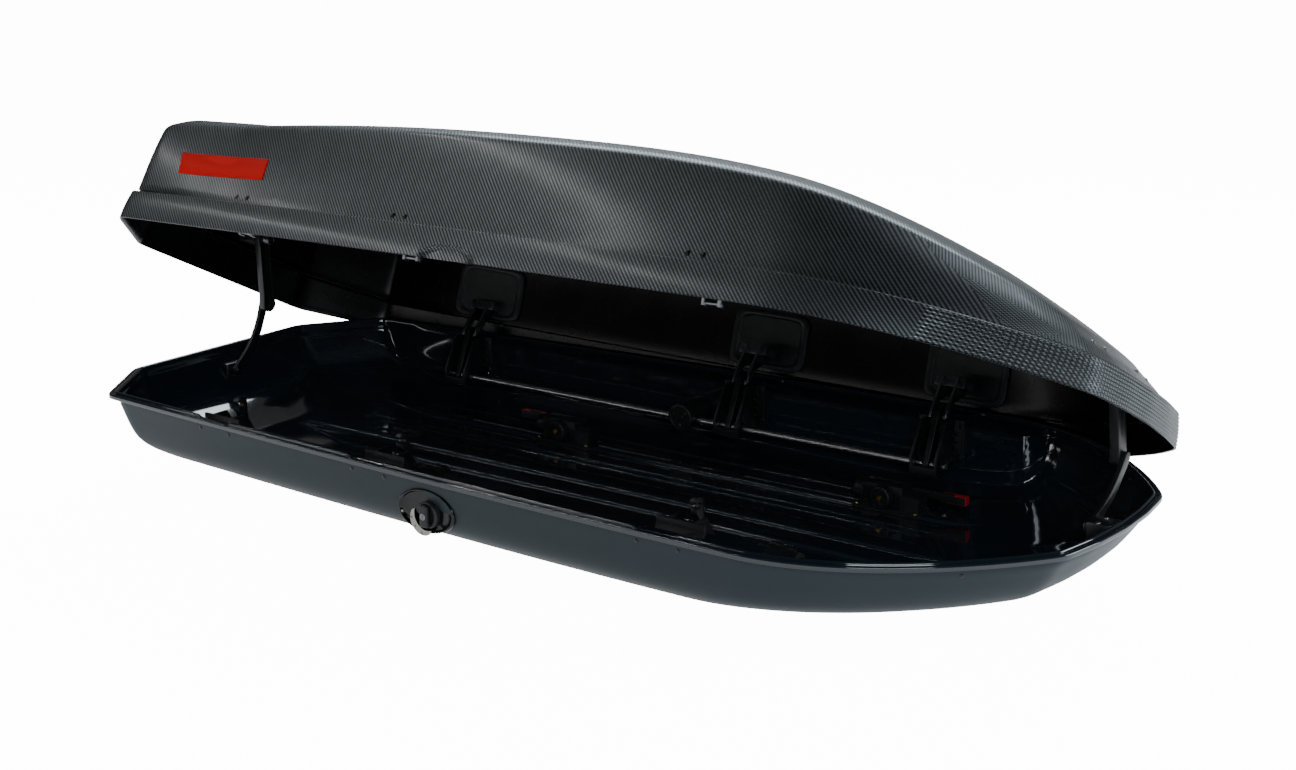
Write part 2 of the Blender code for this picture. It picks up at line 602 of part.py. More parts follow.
def main():
    clear_scene()
    lid_axis = bpy.data.objects.new("lid_hinge_axis", None)
    bpy.context.collection.objects.link(lid_axis)
    lid_axis.location = (0.0, PIN_Y, PIN_Z)
    make_tub()
    make_lid(lid_axis)
    make_latches(lid_axis)
    for side in ("near", "far"):
        make_lock(side)
    for end in LIFTERS:
        make_lifter(end, lid_axis)
    for end, x in CLAMP_X.items():
        for side in ("near", "far"):
            make_clamp(end, side, x)
    lid_axis.rotation_euler = (-LID_OPEN, 0.0, 0.0)


main()
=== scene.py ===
"""Looks for the dual-opening roof cargo box: smooth shells with an embossed weave,
glossy tub, latches, locks, lid lifters, crossbar clamps, camera and lights."""

import json
import math

import bmesh
import bpy
import numpy as np
from mathutils import Matrix, Vector


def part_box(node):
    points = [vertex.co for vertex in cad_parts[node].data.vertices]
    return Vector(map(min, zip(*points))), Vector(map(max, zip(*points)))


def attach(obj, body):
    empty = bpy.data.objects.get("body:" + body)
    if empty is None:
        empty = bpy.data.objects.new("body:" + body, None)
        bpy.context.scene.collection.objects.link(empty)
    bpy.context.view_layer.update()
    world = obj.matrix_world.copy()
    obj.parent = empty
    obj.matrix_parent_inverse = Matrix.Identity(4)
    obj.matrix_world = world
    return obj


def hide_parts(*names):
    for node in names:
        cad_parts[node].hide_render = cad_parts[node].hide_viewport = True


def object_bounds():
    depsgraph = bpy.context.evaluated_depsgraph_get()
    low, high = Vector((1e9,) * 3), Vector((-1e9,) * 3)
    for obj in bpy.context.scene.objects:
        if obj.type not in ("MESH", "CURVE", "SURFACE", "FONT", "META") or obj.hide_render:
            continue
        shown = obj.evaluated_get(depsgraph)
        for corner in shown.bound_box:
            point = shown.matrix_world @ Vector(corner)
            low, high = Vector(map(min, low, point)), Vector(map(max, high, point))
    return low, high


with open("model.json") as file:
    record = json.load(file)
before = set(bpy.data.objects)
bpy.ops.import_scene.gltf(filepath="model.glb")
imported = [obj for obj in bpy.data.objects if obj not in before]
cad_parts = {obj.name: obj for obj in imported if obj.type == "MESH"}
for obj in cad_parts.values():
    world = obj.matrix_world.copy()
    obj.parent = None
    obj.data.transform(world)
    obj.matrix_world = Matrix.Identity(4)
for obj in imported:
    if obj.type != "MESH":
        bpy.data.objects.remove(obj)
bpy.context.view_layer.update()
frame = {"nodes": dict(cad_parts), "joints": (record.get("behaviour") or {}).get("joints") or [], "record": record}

MM = 0.001
RECORD = frame["record"]
BODY_OF = {node: body for body, nodes in RECORD["behaviour"]["bodies"].items() for node in nodes}
JOINTS = {joint["name"]: joint for joint in frame["joints"]}
HINGE = JOINTS["lid_hinge"]
SIDES = {"near": -1, "far": 1}
PLACES = ("rear", "middle", "front")

# ---- sizes taken from the frame ----
TUB_LOW, TUB_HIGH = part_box("base_tub")
RIM_Z = TUB_HIGH.z
REAR_X, NOSE_X = TUB_LOW.x, TUB_HIGH.x
WIDE_HALF = TUB_HIGH.y
PIN_Y, PIN_Z = HINGE["pos_m"][1], HINGE["pos_m"][2]
LID_OPEN = -math.radians(HINGE["range_deg"][0])
LID_TURN = (Matrix.Translation((0, PIN_Y, PIN_Z)) @ Matrix.Rotation(-LID_OPEN, 4, "X")
            @ Matrix.Translation((0, -PIN_Y, -PIN_Z)))

# ---- plan and sections of the shells ----
CORNER_X, REAR_HALF, CORNER_HALF = REAR_X + 0.112, 0.225, 0.385
WIDE_X = 0.58
NOSE_CORNER_X, NOSE_HALF = NOSE_X - 0.017, 0.170
CORNER_SOFTNESS = 0.011
PAD_Y, PAD_REAR_X, PAD_FRONT_X = 0.3705, -0.80, 0.65
SKIN = 0.0034
KEEL_STEP = 0.002
FLOOR_Z = KEEL_STEP + SKIN
LIP_DROP = 0.010            # the inner wall starts this far below the rim
RIM_WIDTH = 0.020
SKIRT_OUT = 0.012
CREASE_Z = 0.047
WALL_FOOT = CREASE_Z + 0.008
LID_TOP = 0.278
APRON = 0.016               # how much lower the skirt hangs round the tail
TAIL_FROM_X = -0.70         # behind this the lid's end wall stands squarer than its sides
CLAMP_Y = 0.20

COLUMNS = 720
STEPS = 7


# ---- colour and nodes ----
def colour(text):
    """An sRGB hex value as linear light."""
    shares = [int(text[i:i + 2], 16) / 255 for i in (1, 3, 5)]
    return tuple(c / 12.92 if c <= 0.04045 else ((c + 0.055) / 1.055) ** 2.4 for c in shares) + (1.0,)


def add(tree, kind, settings=None, **links):
    """A node with its settings; each link names an input and gives a socket or a value."""
    made = tree.nodes.new("ShaderNode" + kind)
    for name, value in (settings or {}).items():
        setattr(made, name, value)
    for name, value in links.items():
        socket = made.inputs[int(name[1:])] if name[0] == "i" and name[1:].isdigit() else \
            made.inputs[name.replace("_", " ")]
        if isinstance(value, bpy.types.NodeSocket):
            tree.links.new(value, socket)
        else:
            socket.default_value = value
    return made


def finish_named(name, base, roughness, metallic=0.0, ior=1.5, **sockets):
    """A new material with constants on its shader; returns it, its tree and its shader."""
    mat = bpy.data.materials.new(name)
    mat.use_nodes = True
    tree = mat.node_tree
    shader = tree.nodes["Principled BSDF"]
    shader.inputs["Base Color"].default_value = colour(base)
    shader.inputs["Roughness"].default_value = roughness
    shader.inputs["Metallic"].default_value = metallic
    if not metallic:
        shader.inputs["IOR"].default_value = ior
    for socket, value in sockets.items():
        shader.inputs[socket.replace("_", " ")].default_value = value
    return mat, tree, shader


def maths(tree, operation, first, second=0.0):
    return add(tree, "Math", {"operation": operation}, i0=first, i1=second).outputs[0]


def two_tone(tree, share, dark, light):
    mix = add(tree, "Mix", {"data_type": "RGBA"}, i0=share)
    mix.inputs[6].default_value = colour(dark)
    mix.inputs[7].default_value = colour(light)
    return mix.outputs[2]


def between(tree, share, low, high):
    return add(tree, "MapRange", None, i0=share, i3=low, i4=high).outputs[0]


def emboss(tree, shader, height, depth_mm, strength):
    """The surface raised by `height`, at most depth_mm."""
    bump = add(tree, "Bump", None, Strength=strength, Distance=depth_mm * MM, Height=height)
    tree.links.new(bump.outputs[0], shader.inputs["Normal"])


def grained(name, dark, light, roughness, grain_mm, depth_mm, metallic=0.0, **sockets):
    """A moulded or cast finish: fine grain in height, a little drift in colour and gloss,
    and a painted highlight: sharp edges painted slightly lighter."""
    mat, tree, shader = finish_named(name, dark, roughness[0], metallic, **sockets)
    place = add(tree, "TexCoord").outputs["Object"]
    grain = add(tree, "TexNoise", None, Vector=place, Scale=1 / (grain_mm * MM), Detail=3.0,
                Roughness=0.6).outputs[0]
    drift = add(tree, "TexNoise", None, Vector=place, Scale=1 / (90 * MM), Detail=2.0).outputs[0]
    edge = add(tree, "NewGeometry").outputs["Pointiness"]
    # painted highlight: the sharpest edges get the lighter colour
    edge_highlight = add(tree, "MapRange", None, i0=edge, i1=0.52, i2=0.62).outputs[0]
    share = maths(tree, "MAXIMUM", maths(tree, "MULTIPLY", drift, 0.5), edge_highlight)
    tree.links.new(two_tone(tree, share, dark, light), shader.inputs["Base Color"])
    tree.links.new(between(tree, drift, *roughness), shader.inputs["Roughness"])
    emboss(tree, shader, grain, depth_mm, 0.6)
    return mat


# ---- finishes ----
THREAD_MM = 1.9     # one thread of the embossed twill, whose pattern repeats every four


def carbon_weave_abs():
    """Vacuum-formed ABS sheet embossed with a 2/2 twill: dark cells with silvery ones
    between them, each thread rounded, so the wall glitters in diagonal rows."""
    mat, tree, shader = finish_named("carbon_weave_abs", "#0b0c0d", 0.4, 0.0, 1.53,
                                     Specular_IOR_Level=0.25, Coat_Weight=0.20, Coat_Roughness=0.16)
    place = add(tree, "UVMap", {"uv_map": "sheet"}).outputs[0]
    parts = add(tree, "SeparateXYZ", None, i0=place)
    along = maths(tree, "DIVIDE", parts.outputs[0], THREAD_MM * MM)
    across = maths(tree, "DIVIDE", parts.outputs[1], THREAD_MM * MM)
    cell = maths(tree, "ADD", maths(tree, "FLOOR", along), maths(tree, "FLOOR", across))
    over = maths(tree, "LESS_THAN", maths(tree, "FLOORED_MODULO", cell, 4.0), 1.5)
    warp = maths(tree, "SINE", maths(tree, "MULTIPLY", maths(tree, "FRACT", across), math.pi))
    weft = maths(tree, "SINE", maths(tree, "MULTIPLY", maths(tree, "FRACT", along), math.pi))
    thread = add(tree, "Mix", None, i0=over, i2=weft, i3=warp).outputs[0]
    drift = add(tree, "TexNoise", None, Vector=place, Scale=1 / (40 * MM), Detail=2.0).outputs[0]
    glint = maths(tree, "MULTIPLY", over, maths(tree, "POWER", thread, 3.0))
    glint = maths(tree, "MULTIPLY", glint, between(tree, drift, 0.7, 1.1))
    tree.links.new(two_tone(tree, glint, "#020303", "#8f979d"), shader.inputs["Base Color"])
    tree.links.new(between(tree, glint, 0.46, 0.30), shader.inputs["Roughness"])
    tree.links.new(maths(tree, "MULTIPLY", glint, 0.8), shader.inputs["Metallic"])
    emboss(tree, shader, thread, 0.25, 0.5)
    return mat


def brushed(name, base, light, roughness, axis, line_mm):
    """Drawn or brushed metal: fine lines one way, which streak the reflections."""
    mat, tree, shader = finish_named(name, base, roughness, 1.0)
    place = add(tree, "TexCoord").outputs["Object"]
    stretch = [1 / (line_mm * MM)] * 3
    stretch["XYZ".index(axis)] = 1 / (60 * MM)
    lines = add(tree, "Mapping", None, Vector=place, Scale=stretch).outputs[0]
    grain = add(tree, "TexNoise", None, Vector=lines, Scale=1.0, Detail=2.0).outputs[0]
    tree.links.new(two_tone(tree, grain, base, light), shader.inputs["Base Color"])
    tree.links.new(between(tree, grain, roughness - 0.08, roughness + 0.10), shader.inputs["Roughness"])
    emboss(tree, shader, grain, 0.05, 0.25)
    return mat


# polished sheet: near-mirror black with a blue cast, only a trace of orange peel
GLOSS_TUB = grained("gloss_black_abs", "#1c242c", "#252f38", (0.05, 0.10), 14.0, 0.02,
                    Coat_Weight=0.6, Coat_Roughness=0.03)
# the same sheet's outer face, haircell-embossed: soft wide reflections
SATIN_TUB = grained("haircell_black_abs", "#222d34", "#2a373f", (0.34, 0.44), 1.6, 0.06,
                    Specular_IOR_Level=0.30)
WEAVE = carbon_weave_abs()
# back of the lid sheet: plain black with a soft gloss
LID_INSIDE = grained("lid_sheet_back", "#0a0b0b", "#0e0f10", (0.22, 0.32), 5.0, 0.02,
                     Specular_IOR_Level=0.35)
# glass-filled nylon from a spark-eroded mould: matt, slightly grey, with a painted highlight on its edges
NYLON = grained("moulded_black_nylon", "#0e0f10", "#2c2e30", (0.34, 0.50), 0.9, 0.04)
# leather-grained reinforcement plates: coarse pebbles that catch small lights
PEBBLED = grained("pebbled_nylon", "#17191b", "#4a4e52", (0.26, 0.50), 3.0, 0.55)
# polished bezel rim
GLOSS_NYLON = grained("polished_black_nylon", "#08090a", "#141618", (0.08, 0.16), 4.0, 0.01)
# zinc plate: grey, faintly mottled
ZINC = grained("zinc_plated_steel", "#74777a", "#9a9da0", (0.22, 0.38), 1.2, 0.01, 1.0)
# turned brass, dulled by handling
BRASS = grained("turned_brass", "#c9a24a", "#ecd283", (0.22, 0.34), 0.6, 0.01, 1.0)
ALUMINIUM = brushed("anodised_aluminium", "#b9bec2", "#dfe3e6", 0.26, "X", 0.5)
# die-cast zinc with satin nickel plating
SATIN_SILVER = grained("satin_nickel_plate", "#9a9992", "#c9c7bf", (0.24, 0.36), 0.8, 0.015, 1.0)
# moulded red acetal
RED_ACETAL = grained("red_acetal", "#c01418", "#e2343a", (0.28, 0.40), 1.0, 0.02)
# domed enamel badge
RED_ENAMEL = grained("red_enamel", "#d4060a", "#de0d12", (0.45, 0.55), 2.0, 0.05,
                     Specular_IOR_Level=0.15)


# ---- mesh helpers ----
def piece(name, mesh, finishes, body, stands_for=(), crisp=40.0):
    """An object in place, shaded smooth but for edges sharper than `crisp` degrees."""
    obj = bpy.data.objects.new(name, mesh)
    bpy.context.scene.collection.objects.link(obj)
    for finish in finishes if isinstance(finishes, (list, tuple)) else [finishes]:
        mesh.materials.append(finish)
    mesh.shade_smooth()
    mesh.set_sharp_from_angle(angle=math.radians(crisp))
    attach(obj, body)
    if stands_for:
        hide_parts(*stands_for)
    return obj


def skin_over(rows, bands=None):
    """A mesh over rings of equal length, closed at both ends; `bands` gives each strip's
    material."""
    rows = np.asarray(rows, float)
    high, wide = rows.shape[:2]
    low = np.arange(high - 1)[:, None] * wide
    here = np.arange(wide)[None, :]
    ahead = (here + 1) % wide
    faces = np.stack([low + here, low + ahead, low + wide + ahead, low + wide + here], -1)
    faces = faces.reshape(-1, 4).tolist()
    faces += [list(range(wide))[::-1], list(range((high - 1) * wide, high * wide))]
    mesh = bpy.data.meshes.new("skin")
    mesh.from_pydata(rows.reshape(-1, 3).tolist(), [], faces)
    if bands is not None:
        strips = np.repeat(np.asarray(bands), wide).tolist()
        mesh.polygons.foreach_set("material_index", strips + [strips[0], strips[-1]])
    return outward(mesh)


def outward(mesh):
    """The mesh with every face looking out of it."""
    bm = bmesh.new()
    bm.from_mesh(mesh)
    bmesh.ops.recalc_face_normals(bm, faces=bm.faces)
    bm.to_mesh(mesh)
    bm.free()
    return mesh


def frame_for(direction):
    """Two directions square to `direction`."""
    direction = Vector(direction).normalized()
    helper = Vector((0, 0, 1)) if abs(direction.z) < 0.9 else Vector((1, 0, 0))
    first = direction.cross(helper).normalized()
    return first, direction.cross(first)


def turned(centre, direction, profile, sides=40, shape=None):
    """Lathe work: `profile` has (along, radius) rows; `shape` scales the radius by angle."""
    first, second = frame_for(direction)
    direction = Vector(direction).normalized()
    rows = []
    for along, radius in profile:
        ring = []
        for angle in (2 * math.pi * i / sides for i in range(sides)):
            reach = radius * (shape(angle) if shape else 1.0)
            ring.append(Vector(centre) + direction * along
                        + (first * math.cos(angle) + second * math.sin(angle)) * reach)
        rows.append(ring)
    return skin_over(rows)


def joined(meshes):
    """Several meshes as one."""
    bm = bmesh.new()
    for mesh in meshes:
        bm.from_mesh(mesh)
    whole = bpy.data.meshes.new("joined")
    bm.to_mesh(whole)
    bm.free()
    return whole


def rounded_block(centre, size, radius, steps=3):
    """A block with rounded edges."""
    bm = bmesh.new()
    bmesh.ops.create_cube(bm, size=1.0)
    for v in bm.verts:
        v.co = [c + share * whole for c, share, whole in zip(centre, v.co, size)]
    bmesh.ops.bevel(bm, geom=bm.edges[:], offset=min(radius, min(size) * 0.45), segments=steps,
                    profile=0.5, affect="EDGES")
    mesh = bpy.data.meshes.new("block")
    bm.to_mesh(mesh)
    bm.free()
    return mesh


def pipe(points, radius, sides=10):
    """A round bar through the points, closed at both ends."""
    points = [Vector(p) for p in points]
    rows = []
    side = None
    for i, here in enumerate(points):
        heading = (points[min(i + 1, len(points) - 1)] - points[max(i - 1, 0)]).normalized()
        if side is None:
            side = frame_for(heading)[0]
        side = (side - heading * side.dot(heading)).normalized()
        up = heading.cross(side)
        size = radius(i / (len(points) - 1)) if callable(radius) else radius
        rows.append([tuple(here + (side * math.cos(a) + up * math.sin(a)) * size)
                     for a in [2 * math.pi * k / sides for k in range(sides)]])
    return skin_over(rows)


def softened(node, finish, width):
    """The frame's own shape with every edge rounded, standing for that node."""
    bm = bmesh.new()
    bm.from_mesh(frame["nodes"][node].data)
    bmesh.ops.remove_doubles(bm, verts=bm.verts, dist=2e-6)
    bmesh.ops.dissolve_limit(bm, angle_limit=math.radians(1), verts=bm.verts, edges=bm.edges)
    mesh = bpy.data.meshes.new(node)
    bm.to_mesh(mesh)
    bm.free()
    obj = bpy.data.objects.new("blank", mesh)
    bpy.context.scene.collection.objects.link(obj)
    bevel = obj.modifiers.new("rounded", "BEVEL")
    bevel.width = width
    bevel.segments = 2
    bevel.limit_method = "ANGLE"
    bevel.angle_limit = math.radians(32)
    bpy.context.view_layer.update()
    graph = bpy.context.evaluated_depsgraph_get()
    rounded = bpy.data.meshes.new_from_object(obj.evaluated_get(graph))
    bpy.data.objects.remove(obj, do_unlink=True)
    rounded.materials.clear()
    return piece(f"{node}.moulding", rounded, finish, BODY_OF[node], [node], 50.0)


def middle(node):
    """The middle of a node's box."""
    low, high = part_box(node)
    return (low + high) / 2


def dome_head(centre, direction, radius, height):
    """A pressed rivet head on its washer."""
    profile = [(-0.001, radius * 1.25), (0.0006, radius * 1.25), (0.0009, radius * 1.1),
               (0.0010, radius), (height * 0.6, radius * 0.86), (height * 0.9, radius * 0.5),
               (height, radius * 0.1)]
    return turned(centre, direction, profile, 24)


def screw_head(centre, direction, radius):
    """A pan head with a cross-cut socket, drawn as a four-lobed dish."""
    dish = [(radius * 0.42, radius * 0.62), (radius * 0.18, radius * 0.42),
            (radius * 0.16, radius * 0.05)]
    lobes = turned(centre, direction, dish, 32, lambda a: 0.45 + 0.55 * abs(math.cos(2 * a)) ** 3)
    pan = [(-0.001, radius), (radius * 0.25, radius), (radius * 0.42, radius * 0.86),
           (radius * 0.44, radius * 0.66), (radius * 0.12, radius * 0.60),
           (radius * 0.10, radius * 0.05)]
    return joined([turned(centre, direction, pan, 32), lobes])


def curve_through(points, steps):
    """A smooth run through rows of numbers, with `steps` rows to each gap."""
    p = np.array(points, float)
    p = np.vstack([2 * p[0] - p[1], p, 2 * p[-1] - p[-2]])
    rows = []
    for a, b, c, d in zip(p, p[1:], p[2:], p[3:]):
        for t in np.arange(steps) / steps:
            rows.append(0.5 * (2 * b + (c - a) * t + (2 * a - 5 * b + 4 * c - d) * t * t
                               + (3 * b - a - 3 * c + d) * t ** 3))
    rows.append(p[-2])
    return np.array(rows)


# ---- the shells' plan ----
def side_half(x):
    """Half width of the rim: a slow swell, then a rounded taper to the nose."""
    swell = np.sin((x - CORNER_X) / (WIDE_X - CORNER_X) * np.pi / 2)
    taper = np.clip((x - WIDE_X) / (NOSE_CORNER_X - WIDE_X), 0, 1)
    return np.where(x <= WIDE_X, CORNER_HALF + (WIDE_HALF - CORNER_HALF) * swell,
                    NOSE_HALF + (WIDE_HALF - NOSE_HALF) * (1 - taper ** 2.0) ** 0.93)


def evenly(points, count):
    """A closed outline as `count` evenly spaced points."""
    loop = np.vstack([points, points[:1]])
    run = np.concatenate([[0], np.cumsum(np.linalg.norm(np.diff(loop, axis=0), axis=1))])
    at = np.linspace(0, run[-1], count, endpoint=False)
    return np.stack([np.interp(at, run, loop[:, k]) for k in (0, 1)], 1), run[-1]


def plan_outline(count):
    """The rim from above, anticlockwise from the rear, its corners softened."""
    side = np.linspace(CORNER_X, WIDE_X, 80)
    nose = WIDE_X + (NOSE_CORNER_X - WIDE_X) * np.sin(np.linspace(0, np.pi / 2, 80))[1:]
    tip = [NOSE_CORNER_X + 0.75 * (NOSE_X - NOSE_CORNER_X), NOSE_X]
    x = np.concatenate([[REAR_X, REAR_X], side, nose, tip])
    y = np.concatenate([[0, REAR_HALF], side_half(side), side_half(nose), [NOSE_HALF / 2, 0]])
    loop = np.concatenate([np.stack([x, -y], 1), np.stack([x, y], 1)[-2:0:-1]])
    dense, length = evenly(loop, 2400)
    waves = np.fft.fftfreq(len(dense), length / len(dense))
    soft = np.fft.ifft(np.fft.fft(dense[:, 0] + 1j * dense[:, 1])
                       * np.exp(-2 * (np.pi * waves * CORNER_SOFTNESS) ** 2))
    return evenly(np.stack([soft.real, soft.imag], 1), count)[0]


PLAN = plan_outline(COLUMNS)


def drawn_in(side=0.0, rear=0.0, front=0.0, skin=0.0, square_tail=0.0):
    """The plan pulled in by side, rear and front, then moved square to itself by skin.
    square_tail keeps that share of the side's pull out of the rear end."""
    x, y = PLAN.T
    along = 1 - np.where(x < 0, rear, front) / NOSE_X
    squared = 1 - square_tail * np.clip((TAIL_FROM_X - x) / (TAIL_FROM_X - REAR_X), 0, 1)
    points = np.stack([x * along, y * (1 - side * squared / WIDE_HALF)], 1)
    run = np.roll(points, -1, 0) - np.roll(points, 1, 0)
    run /= np.linalg.norm(run, axis=1)[:, None]
    return points + np.stack([-run[:, 1], run[:, 0]], 1) * np.reshape(skin, (-1, 1))


def at_height(points, z):
    """The outline lifted to z, which is a height or a function of x."""
    height = z(points[:, 0]) if callable(z) else np.full(len(points), z)
    return np.column_stack([points, height])


def station_mask(x, stations, half, fade=0.004):
    """1 within `half` of a station along the box, fading to 0."""
    nearest = np.min([np.abs(x - s) for s in stations], axis=0)
    return np.clip((half + fade - nearest) / fade, 0, 1)


STATIONS = {side: [middle(f"{side}_{place}_latch_tower").x for place in PLACES] for side in SIDES}


def padded_in(points):
    """The side walls held in by the moulded pads that carry the latches."""
    x, y = points.T
    limit = PAD_Y + np.maximum(PAD_REAR_X - x, 0) * 0.55 + np.maximum(x - PAD_FRONT_X, 0) * 1.1
    over = np.abs(y) - limit
    blend = 2.5 * MM
    held = limit - blend * np.log1p(np.exp(-np.abs(over) / blend)) + np.minimum(over, 0)
    return np.column_stack([x, np.sign(y) * np.minimum(held, np.abs(y))])


def wall_finder(rows, side):
    """A function of x and z: where a wall made of `rows` stands, and its outward normal."""
    xs = np.linspace(REAR_X + 0.01, NOSE_X - 0.01, 400)
    ys, zs = [], []
    for row in rows:
        half = row[row[:, 1] * side > 0]
        half = half[np.argsort(half[:, 0])]
        ys.append(np.interp(xs, half[:, 0], half[:, 1]))
        zs.append(np.interp(xs, half[:, 0], half[:, 2]))
    upward = 1 if np.mean(zs[0]) < np.mean(zs[-1]) else -1
    ys, zs = np.array(ys)[::upward], np.array(zs)[::upward]

    def y_at(x, z):
        k = (x - xs[0]) / (xs[1] - xs[0])
        i = int(min(max(k, 0), len(xs) - 2))
        t = k - i
        z_here = zs[:, i] * (1 - t) + zs[:, i + 1] * t
        y_here = ys[:, i] * (1 - t) + ys[:, i + 1] * t
        return float(np.interp(z, z_here, y_here))

    def place(x, z):
        reach = 4 * MM
        slope_x = (y_at(x + reach, z) - y_at(x - reach, z)) / (2 * reach)
        slope_z = (y_at(x, z + reach) - y_at(x, z - reach)) / (2 * reach)
        return Vector((x, y_at(x, z), z)), Vector((-slope_x, 1.0, -slope_z)).normalized() * side
    return place


# ---- tub ----
# depth below the rim, then how far the wall has come in at the sides, rear and nose
TUB_LEVELS = ((0.010, 0.016, 0.016, 0.016), (0.030, 0.018, 0.020, 0.022), (0.085, 0.026, 0.058, 0.070),
              (0.112, 0.052, 0.120, 0.170), (0.128, 0.092, 0.195, 0.290), (0.133, 0.130, 0.255, 0.380))
# at each of those levels, how much of the skin's thickness goes inwards and how much upwards
TUB_LEAN = ((1.0, 0.0), (1.0, 0.0), (1.0, 0.1), (0.75, 0.65), (0.3, 0.95), (0.1, 1.0))
# the rim from its outer edge inwards: distance in, height, and the share that is the inner ridge
RIM_SECTION = ((0.0140, -0.0100, 0), (0.0030, -0.0100, 0), (0.0006, -0.0092, 0), (0.0, -0.0076, 0),
               (0.0, -0.0026, 0), (0.0007, -0.0008, 0), (0.0026, 0.0, 0), (0.0050, 0.0, 0),
               (0.0060, -0.0006, 0), (0.0068, -0.0034, 0), (0.0076, -0.0042, 0), (0.0098, -0.0042, 0),
               (0.0106, -0.0034, 0), (0.0112, -0.0004, 1), (0.0120, 0.0018, 1), (0.0136, 0.0026, 1),
               (0.0158, 0.0026, 1), (0.0174, 0.0018, 1), (0.0184, 0.0, 1), (0.0192, -0.0030, 0))
NOTCH_HALF = 0.036      # the inner ridge stops this far each side of a latch


def tub_rows():
    """Rings from under the keel, up the outside, over the rim and down the inside."""
    levels = curve_through(TUB_LEVELS, STEPS)
    lean = curve_through(TUB_LEAN, STEPS)
    rows = []
    for share in (0.02, 0.3, 0.55, 0.8):
        rows.append(at_height(drawn_in(*levels[-1][1:]) * share, RIM_Z - levels[-1][0]))
    for depth, side, rear, front in levels[::-1]:
        rows.append(at_height(drawn_in(side, rear, front), RIM_Z - depth))
    outside = len(rows)
    notch = np.where(PLAN[:, 1] < 0, station_mask(PLAN[:, 0], STATIONS["near"], NOTCH_HALF),
                     station_mask(PLAN[:, 0], STATIONS["far"], NOTCH_HALF))
    for inwards, height, ridge in RIM_SECTION:
        points = drawn_in(skin=inwards)
        lift = height - (height + 0.004) * notch * ridge
        rows.append(np.column_stack([points, RIM_Z + lift]))
    for (depth, side, rear, front), (inward, upward) in zip(levels, lean):
        at_lip = abs(depth - LIP_DROP) < 0.1 * MM
        points = drawn_in(skin=RIM_WIDTH) if at_lip else drawn_in(side, rear, front, inward * SKIN)
        rows.append(at_height(padded_in(points), RIM_Z - depth + upward * SKIN))
    last = rows[-1].copy()
    for share in (0.85, 0.6, 0.3, 0.02):
        rows.append(np.column_stack([last[:, :2] * share, last[:, 2]]))
    return np.array(rows), outside


def make_tub():
    rows, outside = tub_rows()
    bands = [1] * outside + [0] * (len(rows) - outside - 1)
    piece("tub_shell", skin_over(rows, bands), [GLOSS_TUB, SATIN_TUB], "tub",
          ["base_tub"], 50.0)
    keel = rounded_block((0.11, 0, KEEL_STEP), (0.94, 0.18, 2 * KEEL_STEP), 1.5 * MM)
    piece("tub_keel_pad", keel, SATIN_TUB, "tub")
    make_floor()
    make_pad_beads(rows[outside + len(RIM_SECTION) + 1:-4])
    make_tub_rivets(rows[4:outside])


# the planks' long edge and short edge: their places across the box, then their ends along it
PLANK_EDGES = ((0.224, 0.180), (0.008, 0.060), (-0.008, -0.060), (-0.224, -0.180))
PLANK_LONG, PLANK_SHORT = (-0.78, 0.72), (-0.60, 0.61)
# a plank's side from the floor up: distance in from its edge, and height
PLANK_SIDE = ((0.0, -0.001), (0.0, 0.0022), (0.0012, 0.0044), (0.0034, 0.0056), (0.008, 0.0060))
# ridges beside the planks: distance from the middle of the floor, rear end and front end
FLOOR_RIDGES = ((0.262, -0.66, 0.55), (0.128, -0.70, 0.62), (0.104, -0.66, 0.60))


def plank_outline(long_y, short_y, inset):
    """One plank from above, drawn in by `inset` and by more at its long edge's sharp ends."""
    inward = 1 if long_y > short_y else -1
    long_y, short_y = long_y - inward * inset, short_y + inward * inset
    long_run, short_run = PLANK_LONG[1] - PLANK_LONG[0], PLANK_SHORT[1] - PLANK_SHORT[0]
    outline = [(PLANK_LONG[0] + inset * 4, long_y)]
    outline += [(PLANK_LONG[0] + long_run * t, long_y) for t in (0.25, 0.5, 0.75)]
    outline += [(PLANK_LONG[1] - inset * 4, long_y), (PLANK_SHORT[1] - inset, short_y)]
    outline += [(PLANK_SHORT[0] + short_run * t, short_y) for t in (0.75, 0.5, 0.25)]
    outline += [(PLANK_SHORT[0] + inset, short_y)]
    return outline


def make_floor():
    """Four long planks raised from the floor, their ends cut aslant and drawn out to points,
    and low ridges beside them."""
    for row, (long_y, short_y) in enumerate(PLANK_EDGES):
        rings = [[(x, y, FLOOR_Z + lift) for x, y in plank_outline(long_y, short_y, inset)]
                 for inset, lift in PLANK_SIDE]
        piece(f"floor_plank_{row + 1}", skin_over(rings), GLOSS_TUB, "tub", crisp=60.0)
    for side, sign in SIDES.items():
        for k, (y, start, end) in enumerate(FLOOR_RIDGES):
            points = [(start + (end - start) * t / 24, sign * y, FLOOR_Z) for t in range(25)]
            ridge = pipe(points, lambda t: 0.0008 + 0.0026 * math.sin(math.pi * t) ** 0.35, 12)
            piece(f"floor_ridge_{side}_{k + 1}", ridge, GLOSS_TUB, "tub")


# the pads' lower edge: places along the box, and height
BEAD_ROUTE = ((-0.915, 0.098), (-0.855, 0.068), (-0.775, 0.040), (-0.690, 0.026), (-0.40, 0.028),
              (-0.05, 0.034), (0.316, 0.040), (0.526, 0.046), (0.640, 0.060), (0.690, 0.098))


def make_pad_beads(inner):
    """A rounded bead runs round the lower edge of each latch pad."""
    for side, sign in SIDES.items():
        points = []
        wall = wall_finder(inner, sign)
        for x, z in curve_through(BEAD_ROUTE, 8):
            spot, normal = wall(x, z)
            points.append(spot - normal * 0.5 * MM)
        bead = pipe(points, lambda t: 0.0010 + 0.0022 * min(1.0, 8 * t, 8 * (1 - t)), 12)
        piece(f"{side}_pad_bead", bead, GLOSS_TUB, "tub")


